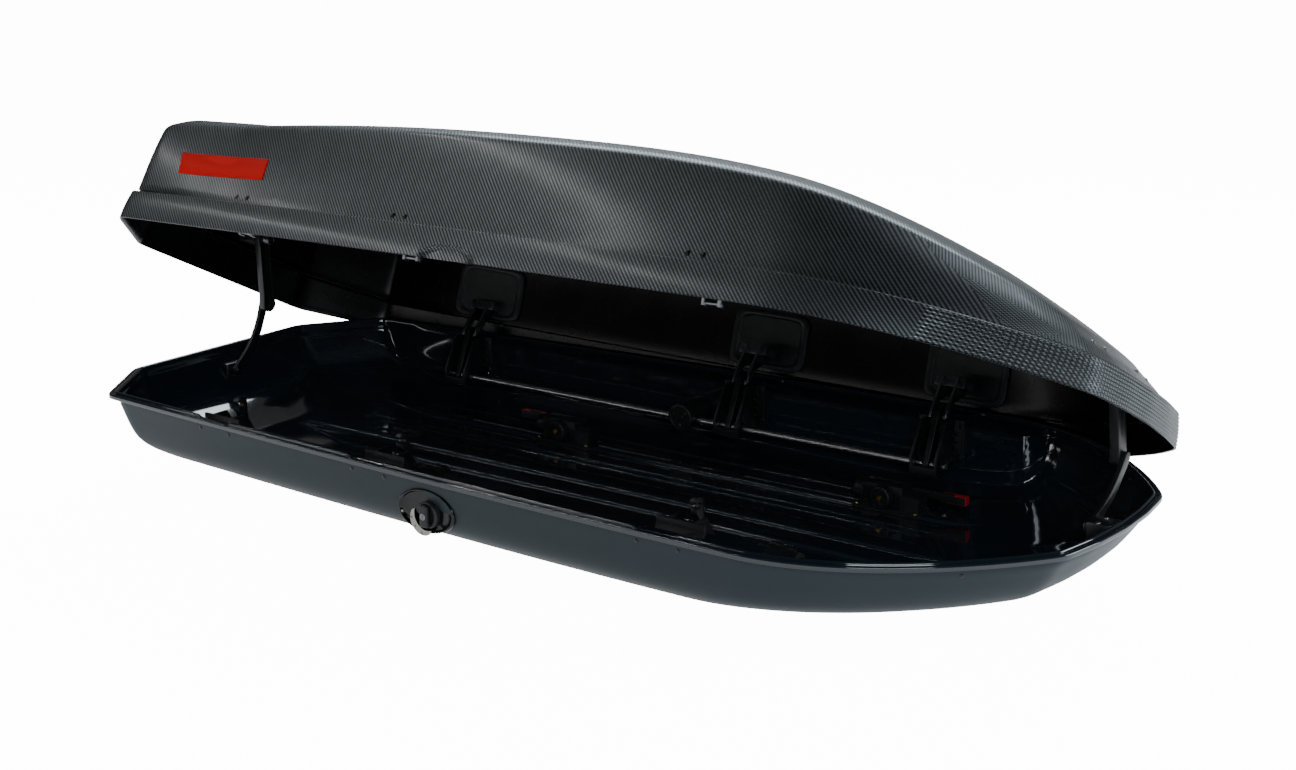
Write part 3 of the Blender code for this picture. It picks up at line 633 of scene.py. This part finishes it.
def make_tub_rivets(outer):
    """Rivets below the rim: a pair by each latch tower and one near the nose."""
    for side, sign in SIDES.items():
        heads = []
        wall = wall_finder(outer, sign)
        for x in [station + d for station in STATIONS[side] for d in (-0.040, 0.040)] + [0.885]:
            spot, normal = wall(x, RIM_Z - 0.024)
            heads.append(dome_head(spot, normal, 2.8 * MM, 1.8 * MM))
        piece(f"{side}_tub_rivets", joined(heads), GLOSS_NYLON, "tub")


# ---- lid ----
# inset at the sides, rear and nose, and the share of the height reached
LID_LEVELS = ((0.012, 0.004, 0.014, 0.00), (0.026, 0.006, 0.040, 0.40), (0.040, 0.009, 0.072, 0.66),
              (0.052, 0.012, 0.090, 0.765), (0.085, 0.026, 0.120, 0.84), (0.130, 0.060, 0.170, 0.905),
              (0.220, 0.180, 0.290, 0.965), (0.350, 0.480, 0.620, 1.00))
# at each level, how much of the skin's thickness goes inwards and how much downwards
LID_LEAN = ((1.0, 0.2), (1.0, 0.3), (0.9, 0.5), (0.7, 0.8), (0.4, 0.9), (0.2, 1.0), (0.1, 1.0), (0.0, 1.0))
# the groove above the skirt, going up: distance out from the plan, and height above the rim
CREASE_SECTION = ((0.0040, 0.0468), (0.0030, 0.0478), (-0.0040, 0.0484), (-0.0072, 0.0480),
                  (-0.0086, 0.0462), (-0.0100, 0.0466), (-0.0108, 0.0500))
FINGER_X, FINGER_HALF, FINGER_TALL, FINGER_DEEP = -0.036, 0.060, 0.026, 0.0065
RIBS_FROM_X, SKIRT_RIBS = 0.80, 9


def lid_height(x):
    """The lid's crown above the rim plane, along its length."""
    return np.where(x < -0.05, LID_TOP - 0.066 * ((x + 0.05) / 0.967) ** 2,
                    LID_TOP - 0.198 * (np.maximum(x + 0.05, 0) / 1.067) ** 3.1)


def lid_ring(level, raised, inward):
    """One ring of the lid at a level, raised and moved square to itself by the skin's share."""
    side, rear, front, share = level
    points = drawn_in(side, rear, front, inward, 0.75 if share < 0.90 else 7.5 * max(1 - share, 0))
    return at_height(points, lambda x: RIM_Z + WALL_FOOT + (lid_height(x) - WALL_FOOT) * share + raised)


def skirt_edge(x):
    """Height of the skirt's lower edge, which drops to an apron round the tail."""
    return RIM_Z - 0.008 - APRON * np.clip((CORNER_X - x) / (CORNER_X - REAR_X), 0, 1)


def skirt_rows(skin, upto, count, ribs=0.0):
    """The skirt from its lower edge to the crease; ribs stand out round the nose, and a
    shallow finger recess is pressed into the near side."""
    rows = []
    for i in range(count):
        share = i / (count - 1)
        x, y = PLAN.T
        out = SKIRT_OUT + (0.004 - SKIRT_OUT) * share + 0.0016 * math.sin(math.pi * share)
        height = skirt_edge(x) * (1 - share) + (RIM_Z + upto) * share
        nose = np.clip((x - RIBS_FROM_X) / 0.03, 0, 1)
        out = out + ribs * nose * math.cos(share * 2 * math.pi * SKIRT_RIBS)
        above = (height - RIM_Z + 0.008) / FINGER_TALL
        dish = np.clip(1 - ((x - FINGER_X) / FINGER_HALF) ** 2 - above ** 2, 0, 1) ** 0.5 * (y < 0)
        out = out - FINGER_DEEP * np.minimum(dish * 1.6, 1)
        rows.append(np.column_stack([drawn_in(skin=skin - out), height]))
    return rows


def lid_rows():
    """Rings from the middle of the inside, down and out to the skirt, then up the outside."""
    levels = curve_through(LID_LEVELS, STEPS)
    lean = curve_through(LID_LEAN, STEPS)
    crown = [(0.35 + (0.447 - 0.35) * t, 0.48 + 0.30 * t, 0.70 + 0.22 * t, 1.0) for t in (0.35, 0.7, 0.95)]
    inside = [lid_ring(level, -SKIN, 0.0) for level in crown[::-1]]
    inside += [lid_ring(level, -down * SKIN, inward * SKIN)
               for level, (inward, down) in zip(levels[::-1], lean[::-1])]
    inside += [at_height(drawn_in(skin=0.009 + SKIN), RIM_Z + CREASE_Z - SKIN + 0.001)]
    inside += skirt_rows(SKIN, CREASE_Z - SKIN, 6)[::-1]
    edge = at_height(drawn_in(skin=-SKIRT_OUT + SKIN / 2), lambda x: skirt_edge(x) - 0.0008)
    outside = skirt_rows(0.0, CREASE_Z - 0.001, 64, 0.0007)
    outside += [at_height(drawn_in(skin=-out), RIM_Z + z) for out, z in CREASE_SECTION]
    walls = [lid_ring(level, 0.0, 0.0) for level in levels]
    walls += [lid_ring(level, 0.0, 0.0) for level in crown]
    return inside + [edge] + outside + walls, len(inside), walls


def lay_sheet_map(mesh):
    """Metric coordinates of the embossed sheet, laid on from the side each face looks to."""
    layer = mesh.uv_layers.new(name="sheet")
    for face in mesh.polygons:
        n = face.normal
        facing = max(range(3), key=lambda k: abs(n[k]))
        u, v = ((1, 2), (0, 2), (0, 1))[facing]
        for loop in face.loop_indices:
            co = mesh.vertices[mesh.loops[loop].vertex_index].co
            layer.data[loop].uv = (co[u], co[v])


def make_lid():
    """The lid's sheet with what is fixed to its outside; returns its inner wall's rings."""
    rows, inside, walls = lid_rows()
    bands = [0] * inside + [1] * (len(rows) - inside - 1)
    mesh = skin_over(rows, bands)
    lay_sheet_map(mesh)
    mesh.transform(LID_TURN)
    piece("lid_sheet", mesh, [LID_INSIDE, WEAVE], "lid", ["lid_shell"], 50.0)
    make_badge(walls)
    make_lid_rivets(walls)
    return rows[:inside]


def lid_piece(name, mesh, finishes, stands_for=(), crisp=40.0):
    """A piece drawn with the lid closed, carried to where the open lid has it."""
    mesh.transform(LID_TURN)
    return piece(name, mesh, finishes, "lid", stands_for, crisp)


# the badge's corners, each with the way that it moves when the plate grows
BADGE_CORNERS = ((-0.800, 0.094, -1, -1), (-0.565, 0.099, 1, -1), (-0.572, 0.141, 1, 1),
                 (-0.812, 0.136, -1, 1))
# its edge from the wall up: how much it grows, and how far it stands proud
BADGE_EDGE = ((0.0, 0.0), (0.0, 0.0012), (-0.0012, 0.0019), (-0.02, 0.0024))


def make_badge(walls):
    """A plain slanted plate on the near wall near the rear; it carries no mark."""
    wall = wall_finder(walls, -1)
    rings = []
    for grow, proud in BADGE_EDGE:
        ring = []
        corners = [(x + right * grow, z + up * grow) for x, z, right, up in BADGE_CORNERS]
        for (x0, z0), (x1, z1) in zip(corners, corners[1:] + corners[:1]):
            for t in (0, 0.25, 0.5, 0.75):
                spot, normal = wall(x0 + (x1 - x0) * t, RIM_Z + z0 + (z1 - z0) * t)
                ring.append(spot + normal * proud)
        rings.append(ring)
    lid_piece("side_badge_plate", skin_over(rings), RED_ENAMEL, ["side_badge"], 30.0)


CATCH_RIVETS, CATCH_RIVET_Z = 0.0145, 0.0615      # half their spacing, and height above the rim
NOSE_RIVET_Z = 0.084
LID_RIVET = (3.6 * MM, 2.4 * MM)


def make_lid_rivets(walls):
    """A pair of rivets outside each catch, and two pairs on the nose by the lifter."""
    for side, sign in SIDES.items():
        heads = []
        wall = wall_finder(walls, sign)
        for station in STATIONS[side]:
            for x in (station - CATCH_RIVETS, station + CATCH_RIVETS):
                spot, normal = wall(x, RIM_Z + CATCH_RIVET_Z)
                heads.append(dome_head(spot, normal, *LID_RIVET))
        lid_piece(f"{side}_lid_rivets", joined(heads), GLOSS_NYLON)
    heads = []
    ahead = [ring[ring[:, 0] > 0.3] for ring in walls if ring[:, 0].max() > 0.6]
    for y in (-0.112, -0.066, 0.066, 0.112):
        row = np.array([half[np.argmin(np.abs(half[:, 1] - y))] for half in ahead])
        k = int(np.argmin(np.abs(row[:, 2] - RIM_Z - NOSE_RIVET_Z)))
        spot = Vector(row[k])
        slope = Vector(row[min(k + 1, len(row) - 1)]) - Vector(row[k - 1])
        normal = Vector((slope.z, 0, -slope.x)).normalized()
        heads.append(dome_head(spot, normal if normal.x > 0 else -normal, *LID_RIVET))
    lid_piece("front_lid_rivets", joined(heads), ZINC)


# ---- latches ----
ROD_RADIUS = (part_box("far_latch_rod")[1].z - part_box("far_latch_rod")[0].z) / 2


def coil(centre, start, end, radius, wire, turns):
    """A close-wound spring along X, about a centre given as (y, z)."""
    steps = 24
    points = []
    for i in range(turns * steps + 1):
        angle = 2 * math.pi * i / steps
        points.append((start + (end - start) * i / (turns * steps),
                       centre[0] + radius * math.cos(angle), centre[1] + radius * math.sin(angle)))
    return pipe(points, wire, 10)


def make_tower(side, sign, place):
    """Tower moulding with ribbed cheeks, four screws, and a hook spring and two collars on
    the rod."""
    node = f"{side}_{place}_latch_tower"
    rod_body = BODY_OF[f"{side}_latch_rod"]
    softened(node, NYLON, 1.4 * MM)
    low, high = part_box(node)
    x = (low.x + high.x) / 2
    inward = Vector((0, -sign, 0))
    plate_y = sign * (PIN_Y + 0.0105)
    rib_size, foot_size = (0.007, 0.018, 0.0036), (0.010, 0.006, 0.008)
    ribs = []
    for dx in (-0.0315, 0.0315):
        for dz in (-0.030, -0.046, -0.062):
            ribs.append(rounded_block((x + dx, plate_y - sign * 0.009, PIN_Z + dz), rib_size, 0.9 * MM))
        foot = (x + dx * 1.22, plate_y - sign * 0.003, low.z + 0.024)
        ribs.append(rounded_block(foot, foot_size, 1.2 * MM))
    piece(f"{side}_{place}_tower_ribs", joined(ribs), NYLON, "tub")
    screws = [screw_head((x + dx, plate_y, PIN_Z + dz), inward, 4.0 * MM)
              for dx in (-0.040, 0.040) for dz in (-0.016, -0.072)]
    piece(f"{side}_{place}_tower_screws", joined(screws), ZINC, "tub")
    rod = middle(f"{side}_latch_rod")
    spring = coil((rod.y, rod.z), x + 0.0075, x + 0.0205, 9.8 * MM, 1.1 * MM, 5)
    piece(f"{side}_{place}_hook_spring", spring, ZINC, rod_body)
    collar = [(0, ROD_RADIUS + 0.0002), (0.0, 0.0108), (0.0022, 0.0108), (0.0030, 0.0098),
              (0.0030, ROD_RADIUS + 0.0002)]
    collars = [turned((x + dx, rod.y, rod.z), (math.copysign(1, dx), 0, 0), collar, 32)
               for dx in (-0.0290, 0.0290)]
    piece(f"{side}_{place}_rod_collars", joined(collars), NYLON, rod_body)
    softened(f"{side}_{place}_latch_hook", NYLON, 1.0 * MM)


PLATE_HALF_X, PLATE_HALF_Z = 0.084, 0.054
PLATE_Z = 0.104             # its middle above the rim, with the lid shut
# the plate from its edge to its middle: share of its size, and how far it stands off the wall
PLATE_SECTION = ((1.0, -0.0006), (1.0, 0.0046), (0.965, 0.0060), (0.86, 0.0060), (0.82, 0.0044),
                 (0.80, 0.0026), (0.5, 0.0026), (0.05, 0.0026))


def squarish(value):
    """A sine or cosine pushed out toward the corners of a square."""
    return math.copysign(abs(value) ** 0.30, value)


def make_catch(side, place, wall):
    """Steel ears and pin, and a pebbled plate whose raised border follows the lid's wall."""
    softened(f"{side}_{place}_lid_catch", ZINC, 0.7 * MM)
    x = middle(f"{side}_{place}_latch_tower").x
    corners = 40
    rings = []
    for share, proud in PLATE_SECTION:
        ring = []
        for i in range(corners):
            angle = 2 * math.pi * i / corners
            spot, normal = wall(x + squarish(math.cos(angle)) * PLATE_HALF_X * share,
                                RIM_Z + PLATE_Z + squarish(math.sin(angle)) * PLATE_HALF_Z * share)
            ring.append(spot - normal * proud)
        rings.append(ring)
    lid_piece(f"{side}_{place}_catch_plate", skin_over(rings), PEBBLED)


def make_rod(side):
    """A latch rod with chamfered ends."""
    low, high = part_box(f"{side}_latch_rod")
    centre = middle(f"{side}_latch_rod")
    length = high.x - low.x
    chamfer = 1.2 * MM
    profile = [(0.0, 0.001), (0.0, ROD_RADIUS - chamfer), (chamfer, ROD_RADIUS),
               (length - chamfer, ROD_RADIUS), (length, ROD_RADIUS - chamfer), (length, 0.001)]
    tube = turned((low.x, centre.y, centre.z), (1, 0, 0), profile, 48)
    piece(f"{side}_rod_tube", tube, ALUMINIUM, BODY_OF[f"{side}_latch_rod"],
          [f"{side}_latch_rod"])


def make_latches(lid_inside):
    for side, sign in SIDES.items():
        make_rod(side)
        wall = wall_finder(lid_inside, sign)
        for place in PLACES:
            make_tower(side, sign, place)
            make_catch(side, place, wall)


# ---- locks ----
# the surround from its back, over its rim and into its dish: share of its size, and height
# over its front face
SURROUND_SECTION = ((1.0, -0.0262), (1.0, -0.0030), (0.988, -0.0010), (0.965, 0.0), (0.935, 0.0001),
                    (0.905, -0.0012), (0.890, -0.0036), (0.86, -0.0048), (0.60, -0.0052), (0.05, -0.0052))
CASE_COVER = ((-0.004, 0.0262), (0.0, 0.0262), (0.0010, 0.0250), (0.0012, 0.0215), (0.0004, 0.0208),
              (0.0004, 0.0080), (0.0014, 0.0072), (0.0016, 0.001))


def around(axis, y, radius, angle):
    """A place at `radius` from the lock's axis, at depth y."""
    return (axis.x + radius * math.cos(angle), y, axis.z + radius * math.sin(angle))


def make_lock(side, sign):
    """Outside, an oval surround with a polished raised rim, a turning knob, a key barrel and
    a thumb lever; inside, a round case with a cover disc."""
    out = Vector((0, sign, 0))
    low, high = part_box(f"{side}_lock_bezel")
    face = high.y if sign > 0 else low.y
    centre = (low + high) / 2
    half_x, half_z = (high.x - low.x) / 2, (high.z - low.z) / 2
    turns = [2 * math.pi * i / 72 for i in range(72)]
    rings = [[(centre.x + half_x * share * math.cos(a), face + sign * proud,
               centre.z + half_z * share * math.sin(a)) for a in turns]
             for share, proud in SURROUND_SECTION]
    piece(f"{side}_lock_surround", skin_over(rings), GLOSS_NYLON, "tub",
          [f"{side}_lock_bezel"])
    axis = middle(f"{side}_key_barrel")
    make_knob(side, sign, axis, face)
    softened(f"{side}_key_barrel", ZINC, 0.3 * MM)
    make_thumb_lever(side, sign, axis, face)
    make_lever_holes(side, sign, axis, face)
    softened(f"{side}_lock_case", NYLON, 1.4 * MM)
    low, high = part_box(f"{side}_lock_case")
    inner = low.y if sign > 0 else high.y
    cover = turned((axis.x, inner, axis.z), -out, CASE_COVER, 64)
    piece(f"{side}_case_cover", cover, NYLON, "tub")
    screws = [screw_head(around(axis, inner - sign * 0.4 * MM, 15 * MM, a), -out, 3.0 * MM)
              for a in (0.6, 2.7, 4.8)]
    piece(f"{side}_case_screws", joined(screws), ZINC, "tub")


def make_knob(side, sign, axis, face):
    """A disc fluted round its edge, with a bar to grip and a shaft into the case."""
    out = Vector((0, sign, 0))
    low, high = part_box(f"{side}_lock_knob")
    radius = (high.x - low.x) / 2
    profile = [(-0.0050, radius), (0.0028, radius), (0.0040, radius - 0.0010), (0.0045, radius - 0.0026),
               (0.0042, radius - 0.0060), (0.0036, radius - 0.0072), (0.0036, 0.001)]
    disc = turned((axis.x, face, axis.z), out, profile, 72,
                  lambda a: 1 - 0.012 * (0.5 + 0.5 * math.cos(30 * a)))
    grip = rounded_block((axis.x, face + sign * 0.0079, axis.z), (0.018, 0.0098, 0.039), 3.0 * MM, 5)
    reach = abs(face) - PIN_Y + 0.012
    shaft = turned((axis.x, sign * (PIN_Y - 0.016), axis.z), out,
                   [(0, 0.001), (0, 0.006), (reach, 0.006), (reach, 0.001)], 32)
    piece(f"{side}_turn_knob", joined([disc, grip, shaft]), NYLON, BODY_OF[f"{side}_lock_knob"],
          [f"{side}_lock_knob"])


def make_lever_holes(side, sign, axis, face):
    """Three small pits along the crescent lever."""
    pit = [(-0.001, 0.0020), (0.0, 0.0020), (0.0002, 0.0015), (-0.0004, 0.0004)]
    holes = [turned(around(axis, face + sign * 4.6 * MM, 34.5 * MM, math.radians(a)), (0, sign, 0), pit, 20)
             for a in (250, 222, 194)]
    if sign > 0:
        mirrored = Matrix.Translation((2 * axis.x, 0, 0)) @ Matrix.Diagonal((-1, 1, 1, 1))
        for hole in holes:
            hole.transform(mirrored)
            outward(hole)
    piece(f"{side}_lever_holes", joined(holes), GLOSS_NYLON, BODY_OF[f"{side}_thumb_lever"])


# the crescent's first and last angle; its inner radius, its outer radius at the tips, and how
# much further out its middle swells; then its edge from the face up: inset, and height
CRESCENT_FROM, CRESCENT_TO = 162, 288
CRESCENT_IN, CRESCENT_TIP, CRESCENT_SWELL = 0.0250, 0.0275, 0.0135
CRESCENT_EDGE = ((0.0, 0.0010), (0.0, 0.0034), (0.0007, 0.0043), (0.0018, 0.0045))


def make_thumb_lever(side, sign, axis, face):
    """A crescent that wraps the lower rear quarter of the knob, thickest in its middle."""
    sweep = CRESCENT_TO - CRESCENT_FROM
    rings = []
    for inset, proud in CRESCENT_EDGE:
        outline = []
        for i in range(25):
            reach = CRESCENT_TIP + CRESCENT_SWELL * abs(math.sin(math.pi * i / 24)) ** 0.6 - inset
            outline.append((math.radians(CRESCENT_FROM + sweep * i / 24), reach))
        for i in range(25):
            outline.append((math.radians(CRESCENT_TO - sweep * i / 24), CRESCENT_IN + inset))
        rings.append([(axis.x - sign * reach * math.cos(a), face + sign * proud, axis.z + reach * math.sin(a))
                      for a, reach in outline])
    piece(f"{side}_crescent_lever", skin_over(rings), SATIN_SILVER, BODY_OF[f"{side}_thumb_lever"],
          [f"{side}_thumb_lever"])


# ---- lifters ----
def make_lifter(end):
    """Bowed arm and channel link with pinned knuckles, brackets and a torsion spring."""
    out = -1 if end == "rear" else 1
    for part in ("arm", "link", "lid_bracket", "tub_bracket"):
        softened(f"{end}_lifter_{part}", ZINC if part == "tub_bracket" else NYLON, 1.1 * MM)
    low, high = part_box(f"{end}_lifter_spring")
    centre = (low + high) / 2
    wire = 1.4 * MM
    radius = min(high.y - low.y, high.z - low.z) / 2 - 1.6 * MM
    spring = coil((centre.y, centre.z), low.x + wire, high.x - wire, radius, wire, 6)
    piece(f"{end}_lifter_coil", spring, ZINC, "lid", [f"{end}_lifter_spring"])

    arm_low, arm_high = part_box(f"{end}_lifter_arm")
    arm_inner = arm_low.x if out > 0 else arm_high.x
    pivot = JOINTS[f"{end}_arm_turn"]["pos_m"]
    pin = dome_head((arm_inner - out * 1.2 * MM, pivot[1], pivot[2]), (-out, 0, 0), 6.2 * MM, 3.0 * MM)
    piece(f"{end}_lifter_foot_pin", pin, ZINC, "tub")

    link_low, link_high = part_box(f"{end}_lifter_link")
    link_inner = link_low.x if out > 0 else link_high.x
    pivot = JOINTS[f"{end}_link_turn"]["pos_m"]
    boss = turned((link_inner + out * 0.5 * MM, pivot[1], pivot[2]), (-out, 0, 0),
                  [(-0.001, 0.0105), (0.0004, 0.0105), (0.0012, 0.0096), (0.0012, 0.0060),
                   (0.0002, 0.0056)], 40)
    piece(f"{end}_lifter_link_boss", boss, NYLON, BODY_OF[f"{end}_lifter_link"])

    low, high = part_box(f"{end}_lifter_tub_bracket")
    foot_x = (low.x + high.x) / 2 + out * 2 * MM
    screws = [screw_head((foot_x, y, high.z - 0.4 * MM), (0, 0, 1), 3.8 * MM)
              for y in (low.y + 6 * MM, high.y - 6 * MM)]
    piece(f"{end}_lifter_foot_screws", joined(screws), ZINC, "tub")


# ---- clamps ----
LEVER_BLACK = 0.082      # this much of each lever, from its pivot, is black; the grip is red
PLATE_SCREWS_X, PLATE_SCREWS_Y, PLATE_TOP = 0.059, 0.020, 0.0065
RIB_Z, RIB_SIZE = 0.04835, (0.002, 0.028, 0.0017)      # ribs across the top of each housing


def make_clamp(end, side, sign):
    """Ribbed housing, red-tipped lever, fluted dial with a brass screw, and jaws."""
    name = f"{end}_{side}_clamp"
    softened(f"{name}_housing", NYLON, 1.3 * MM)
    softened(f"{name}_sliding_jaw", ZINC, 0.9 * MM)
    lever = softened(f"{name}_lever", RED_ACETAL, 1.3 * MM)
    lever.data.materials.append(NYLON)
    pivot_x = JOINTS[f"{name}_lever_lift"]["pos_m"][0]
    for face in lever.data.polygons:
        face.material_index = int(abs(face.center.x - pivot_x) < LEVER_BLACK)
    make_dial(name, sign)
    low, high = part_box(f"{name}_housing")
    x, y = (low.x + high.x) / 2, sign * CLAMP_Y
    screws = [screw_head((x + dx, y + dy, FLOOR_Z + PLATE_TOP), (0, 0, 1), 3.6 * MM)
              for dx in (-PLATE_SCREWS_X, PLATE_SCREWS_X) for dy in (-PLATE_SCREWS_Y, PLATE_SCREWS_Y)]
    piece(f"{name}_plate_screws", joined(screws), BRASS, "tub")
    ribs = [rounded_block((x + dx, y - 0.001, FLOOR_Z + RIB_Z), RIB_SIZE, 0.7 * MM)
            for dx in (-0.012, -0.006, 0.0, 0.006, 0.012)]
    piece(f"{name}_housing_ribs", joined(ribs), NYLON, "tub")


def make_dial(name, sign):
    """A dial fluted round its edge and dished in front, with six spokes and a brass screw."""
    low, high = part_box(f"{name}_dial")
    radius = (high.z - low.z) / 2
    body = BODY_OF[f"{name}_dial"]
    inward = Vector((0, -sign, 0))
    centre = Vector(((low.x + high.x) / 2, sign * CLAMP_Y, (low.z + high.z) / 2))
    profile = [(0.0040, 0.001), (0.0040, 0.0056), (0.0172, 0.0056), (0.0176, radius - 0.002),
               (0.0188, radius), (0.0312, radius), (0.0330, radius - 0.0012),
               (0.0339, radius - 0.0030), (0.0338, radius - 0.0055), (0.0312, radius - 0.0062),
               (0.0308, 0.0072), (0.0330, 0.0066), (0.0330, 0.001)]
    dial = turned(centre, inward, profile, 144, lambda a: 1 - 0.045 * (0.5 + 0.5 * math.cos(24 * a)) ** 2)
    piece(f"{name}_grip_dial", dial, NYLON, body, [f"{name}_dial"])
    screw = screw_head(centre + inward * 33 * MM, inward, 5.2 * MM)
    piece(f"{name}_dial_screw", screw, BRASS, body)
    spokes = []
    for k in range(6):
        spoke = rounded_block((0, 0.00045, (radius + 0.001) / 2), (0.0018, 0.0015, radius - 0.014), 0.5 * MM)
        turn = Matrix.Rotation(math.pi * k / 3, 4, "Y")
        spoke.transform(Matrix.Translation(centre + inward * 31.2 * MM) @ turn)
        spokes.append(spoke)
    piece(f"{name}_dial_spokes", joined(spokes), NYLON, body)


# ---- stage ----
# how strongly the paper lights the box, and how bright the view sees it
PAPER_GLOW, PAPER_SEEN = 0.60, 14.0
ROOM_LIGHT = 2.2
ROOM_DIM, ROOM_BRIGHT = 0.07, 1.0       # the room's shares of that, in front and behind
DAYLIGHT = "#e6f2f8"
# each light's place, what it faces, its size and its power in watts
LIGHTS = (("top_box", (-0.6, 2.2, 2.6), (0.0, 0.1, 0.4), (4.0, 1.2), 130, DAYLIGHT),
          ("rim_strip", (-2.2, -0.9, 2.9), (0.0, -0.3, 0.1), (3.4, 0.03), 18),
          ("floor_strip", (-2.3, -2.3, 2.2), (0.0, -0.1, 0.0), (3.4, 0.03), 16),
          ("near_strip", (-2.3, -3.2, 0.55), (0.0, -0.4, 0.2), (3.0, 0.10), 6),
          ("inside_fill", (2.6, -2.6, 1.5), (0.0, 0.3, 0.1), (1.6, 0.8), 38, DAYLIGHT),
          ("nose_box", (3.4, 1.6, 1.2), (0.6, 0.0, 0.2), (1.6, 1.2), 55, DAYLIGHT))
# where the view is taken from, how it is turned, and its lens on a 36 mm wide sensor
VIEW_PLACE = (2.2701, -2.8694, 1.1890)
VIEW_TURN, VIEW_DOWN, VIEW_ROLL = 0.64686, 0.26352, -0.01327
LENS_MM = 58.57


def area_light(name, place, target, size, power, tint="#ffffff"):
    """A rectangular light that faces its target."""
    light = bpy.data.lights.new(name, "AREA")
    light.shape = "RECTANGLE"
    light.size, light.size_y = size
    light.energy = power
    light.color = colour(tint)[:3]
    obj = bpy.data.objects.new(name, light)
    bpy.context.scene.collection.objects.link(obj)
    obj.location = place
    obj.rotation_mode = "QUATERNION"
    obj.rotation_quaternion = (Vector(target) - Vector(place)).to_track_quat("-Z", "Y")


def make_stage():
    """A white floor, a room that is dim in front and bright behind, three soft boxes and
    three narrow strips."""
    half = 30.0
    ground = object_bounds()[0].z - 2 * MM
    mesh = bpy.data.meshes.new("floor")
    mesh.from_pydata([(-half, -half, ground), (half, -half, ground), (half, half, ground),
                      (-half, half, ground)], [], [(0, 1, 2, 3)])
    floor = bpy.data.objects.new("floor", mesh)
    bpy.context.scene.collection.objects.link(floor)
    # lit paper: it looks burnt out, and throws only a little light up at the box
    paper, tree, shader = finish_named("lit_white_paper", "#ffffff", 0.9)
    shader.inputs["Emission Color"].default_value = (1, 1, 1, 1)
    shader.inputs["Specular IOR Level"].default_value = 0.0
    seen = add(tree, "LightPath").outputs["Is Camera Ray"]
    tree.links.new(between(tree, seen, PAPER_GLOW, PAPER_SEEN), shader.inputs["Emission Strength"])
    mesh.materials.append(paper)

    world = bpy.data.worlds.new("studio")
    bpy.context.scene.world = world
    world.use_nodes = True
    tree = world.node_tree
    heading = add(tree, "TexCoord").outputs["Generated"]
    parts = add(tree, "SeparateXYZ", None, i0=heading)
    behind = add(tree, "MapRange", {"interpolation_type": "SMOOTHSTEP"}, i0=parts.outputs[1],
                 i1=-0.1, i2=0.9, i3=ROOM_DIM, i4=ROOM_BRIGHT).outputs[0]
    strength = tree.nodes["Background"].inputs["Strength"]
    tree.links.new(maths(tree, "MULTIPLY", behind, ROOM_LIGHT), strength)

    for light in LIGHTS:
        area_light(*light)


def make_camera():
    """The view from the near side, a little above and to the right."""
    camera = bpy.data.objects.new("camera", bpy.data.cameras.new("camera"))
    bpy.context.scene.collection.objects.link(camera)
    camera.data.sensor_width = 36.0
    camera.data.lens = LENS_MM
    camera.data.clip_end = 200.0
    flat = math.cos(VIEW_DOWN)
    ahead = Vector((-math.sin(VIEW_TURN) * flat, math.cos(VIEW_TURN) * flat, -math.sin(VIEW_DOWN)))
    level = Vector((math.cos(VIEW_TURN), math.sin(VIEW_TURN), 0))
    above = level.cross(ahead)
    right = level * math.cos(VIEW_ROLL) + above * math.sin(VIEW_ROLL)
    up = above * math.cos(VIEW_ROLL) - level * math.sin(VIEW_ROLL)
    turn = Matrix((right, up, -ahead)).transposed().to_4x4()
    camera.matrix_world = Matrix.Translation(VIEW_PLACE) @ turn
    bpy.context.scene.camera = camera


def main():
    make_tub()
    make_latches(make_lid())
    for side, sign in SIDES.items():
        make_lock(side, sign)
    for end in ("rear", "front"):
        make_lifter(end)
        for side, sign in SIDES.items():
            make_clamp(end, side, sign)
    make_stage()
    make_camera()


main()
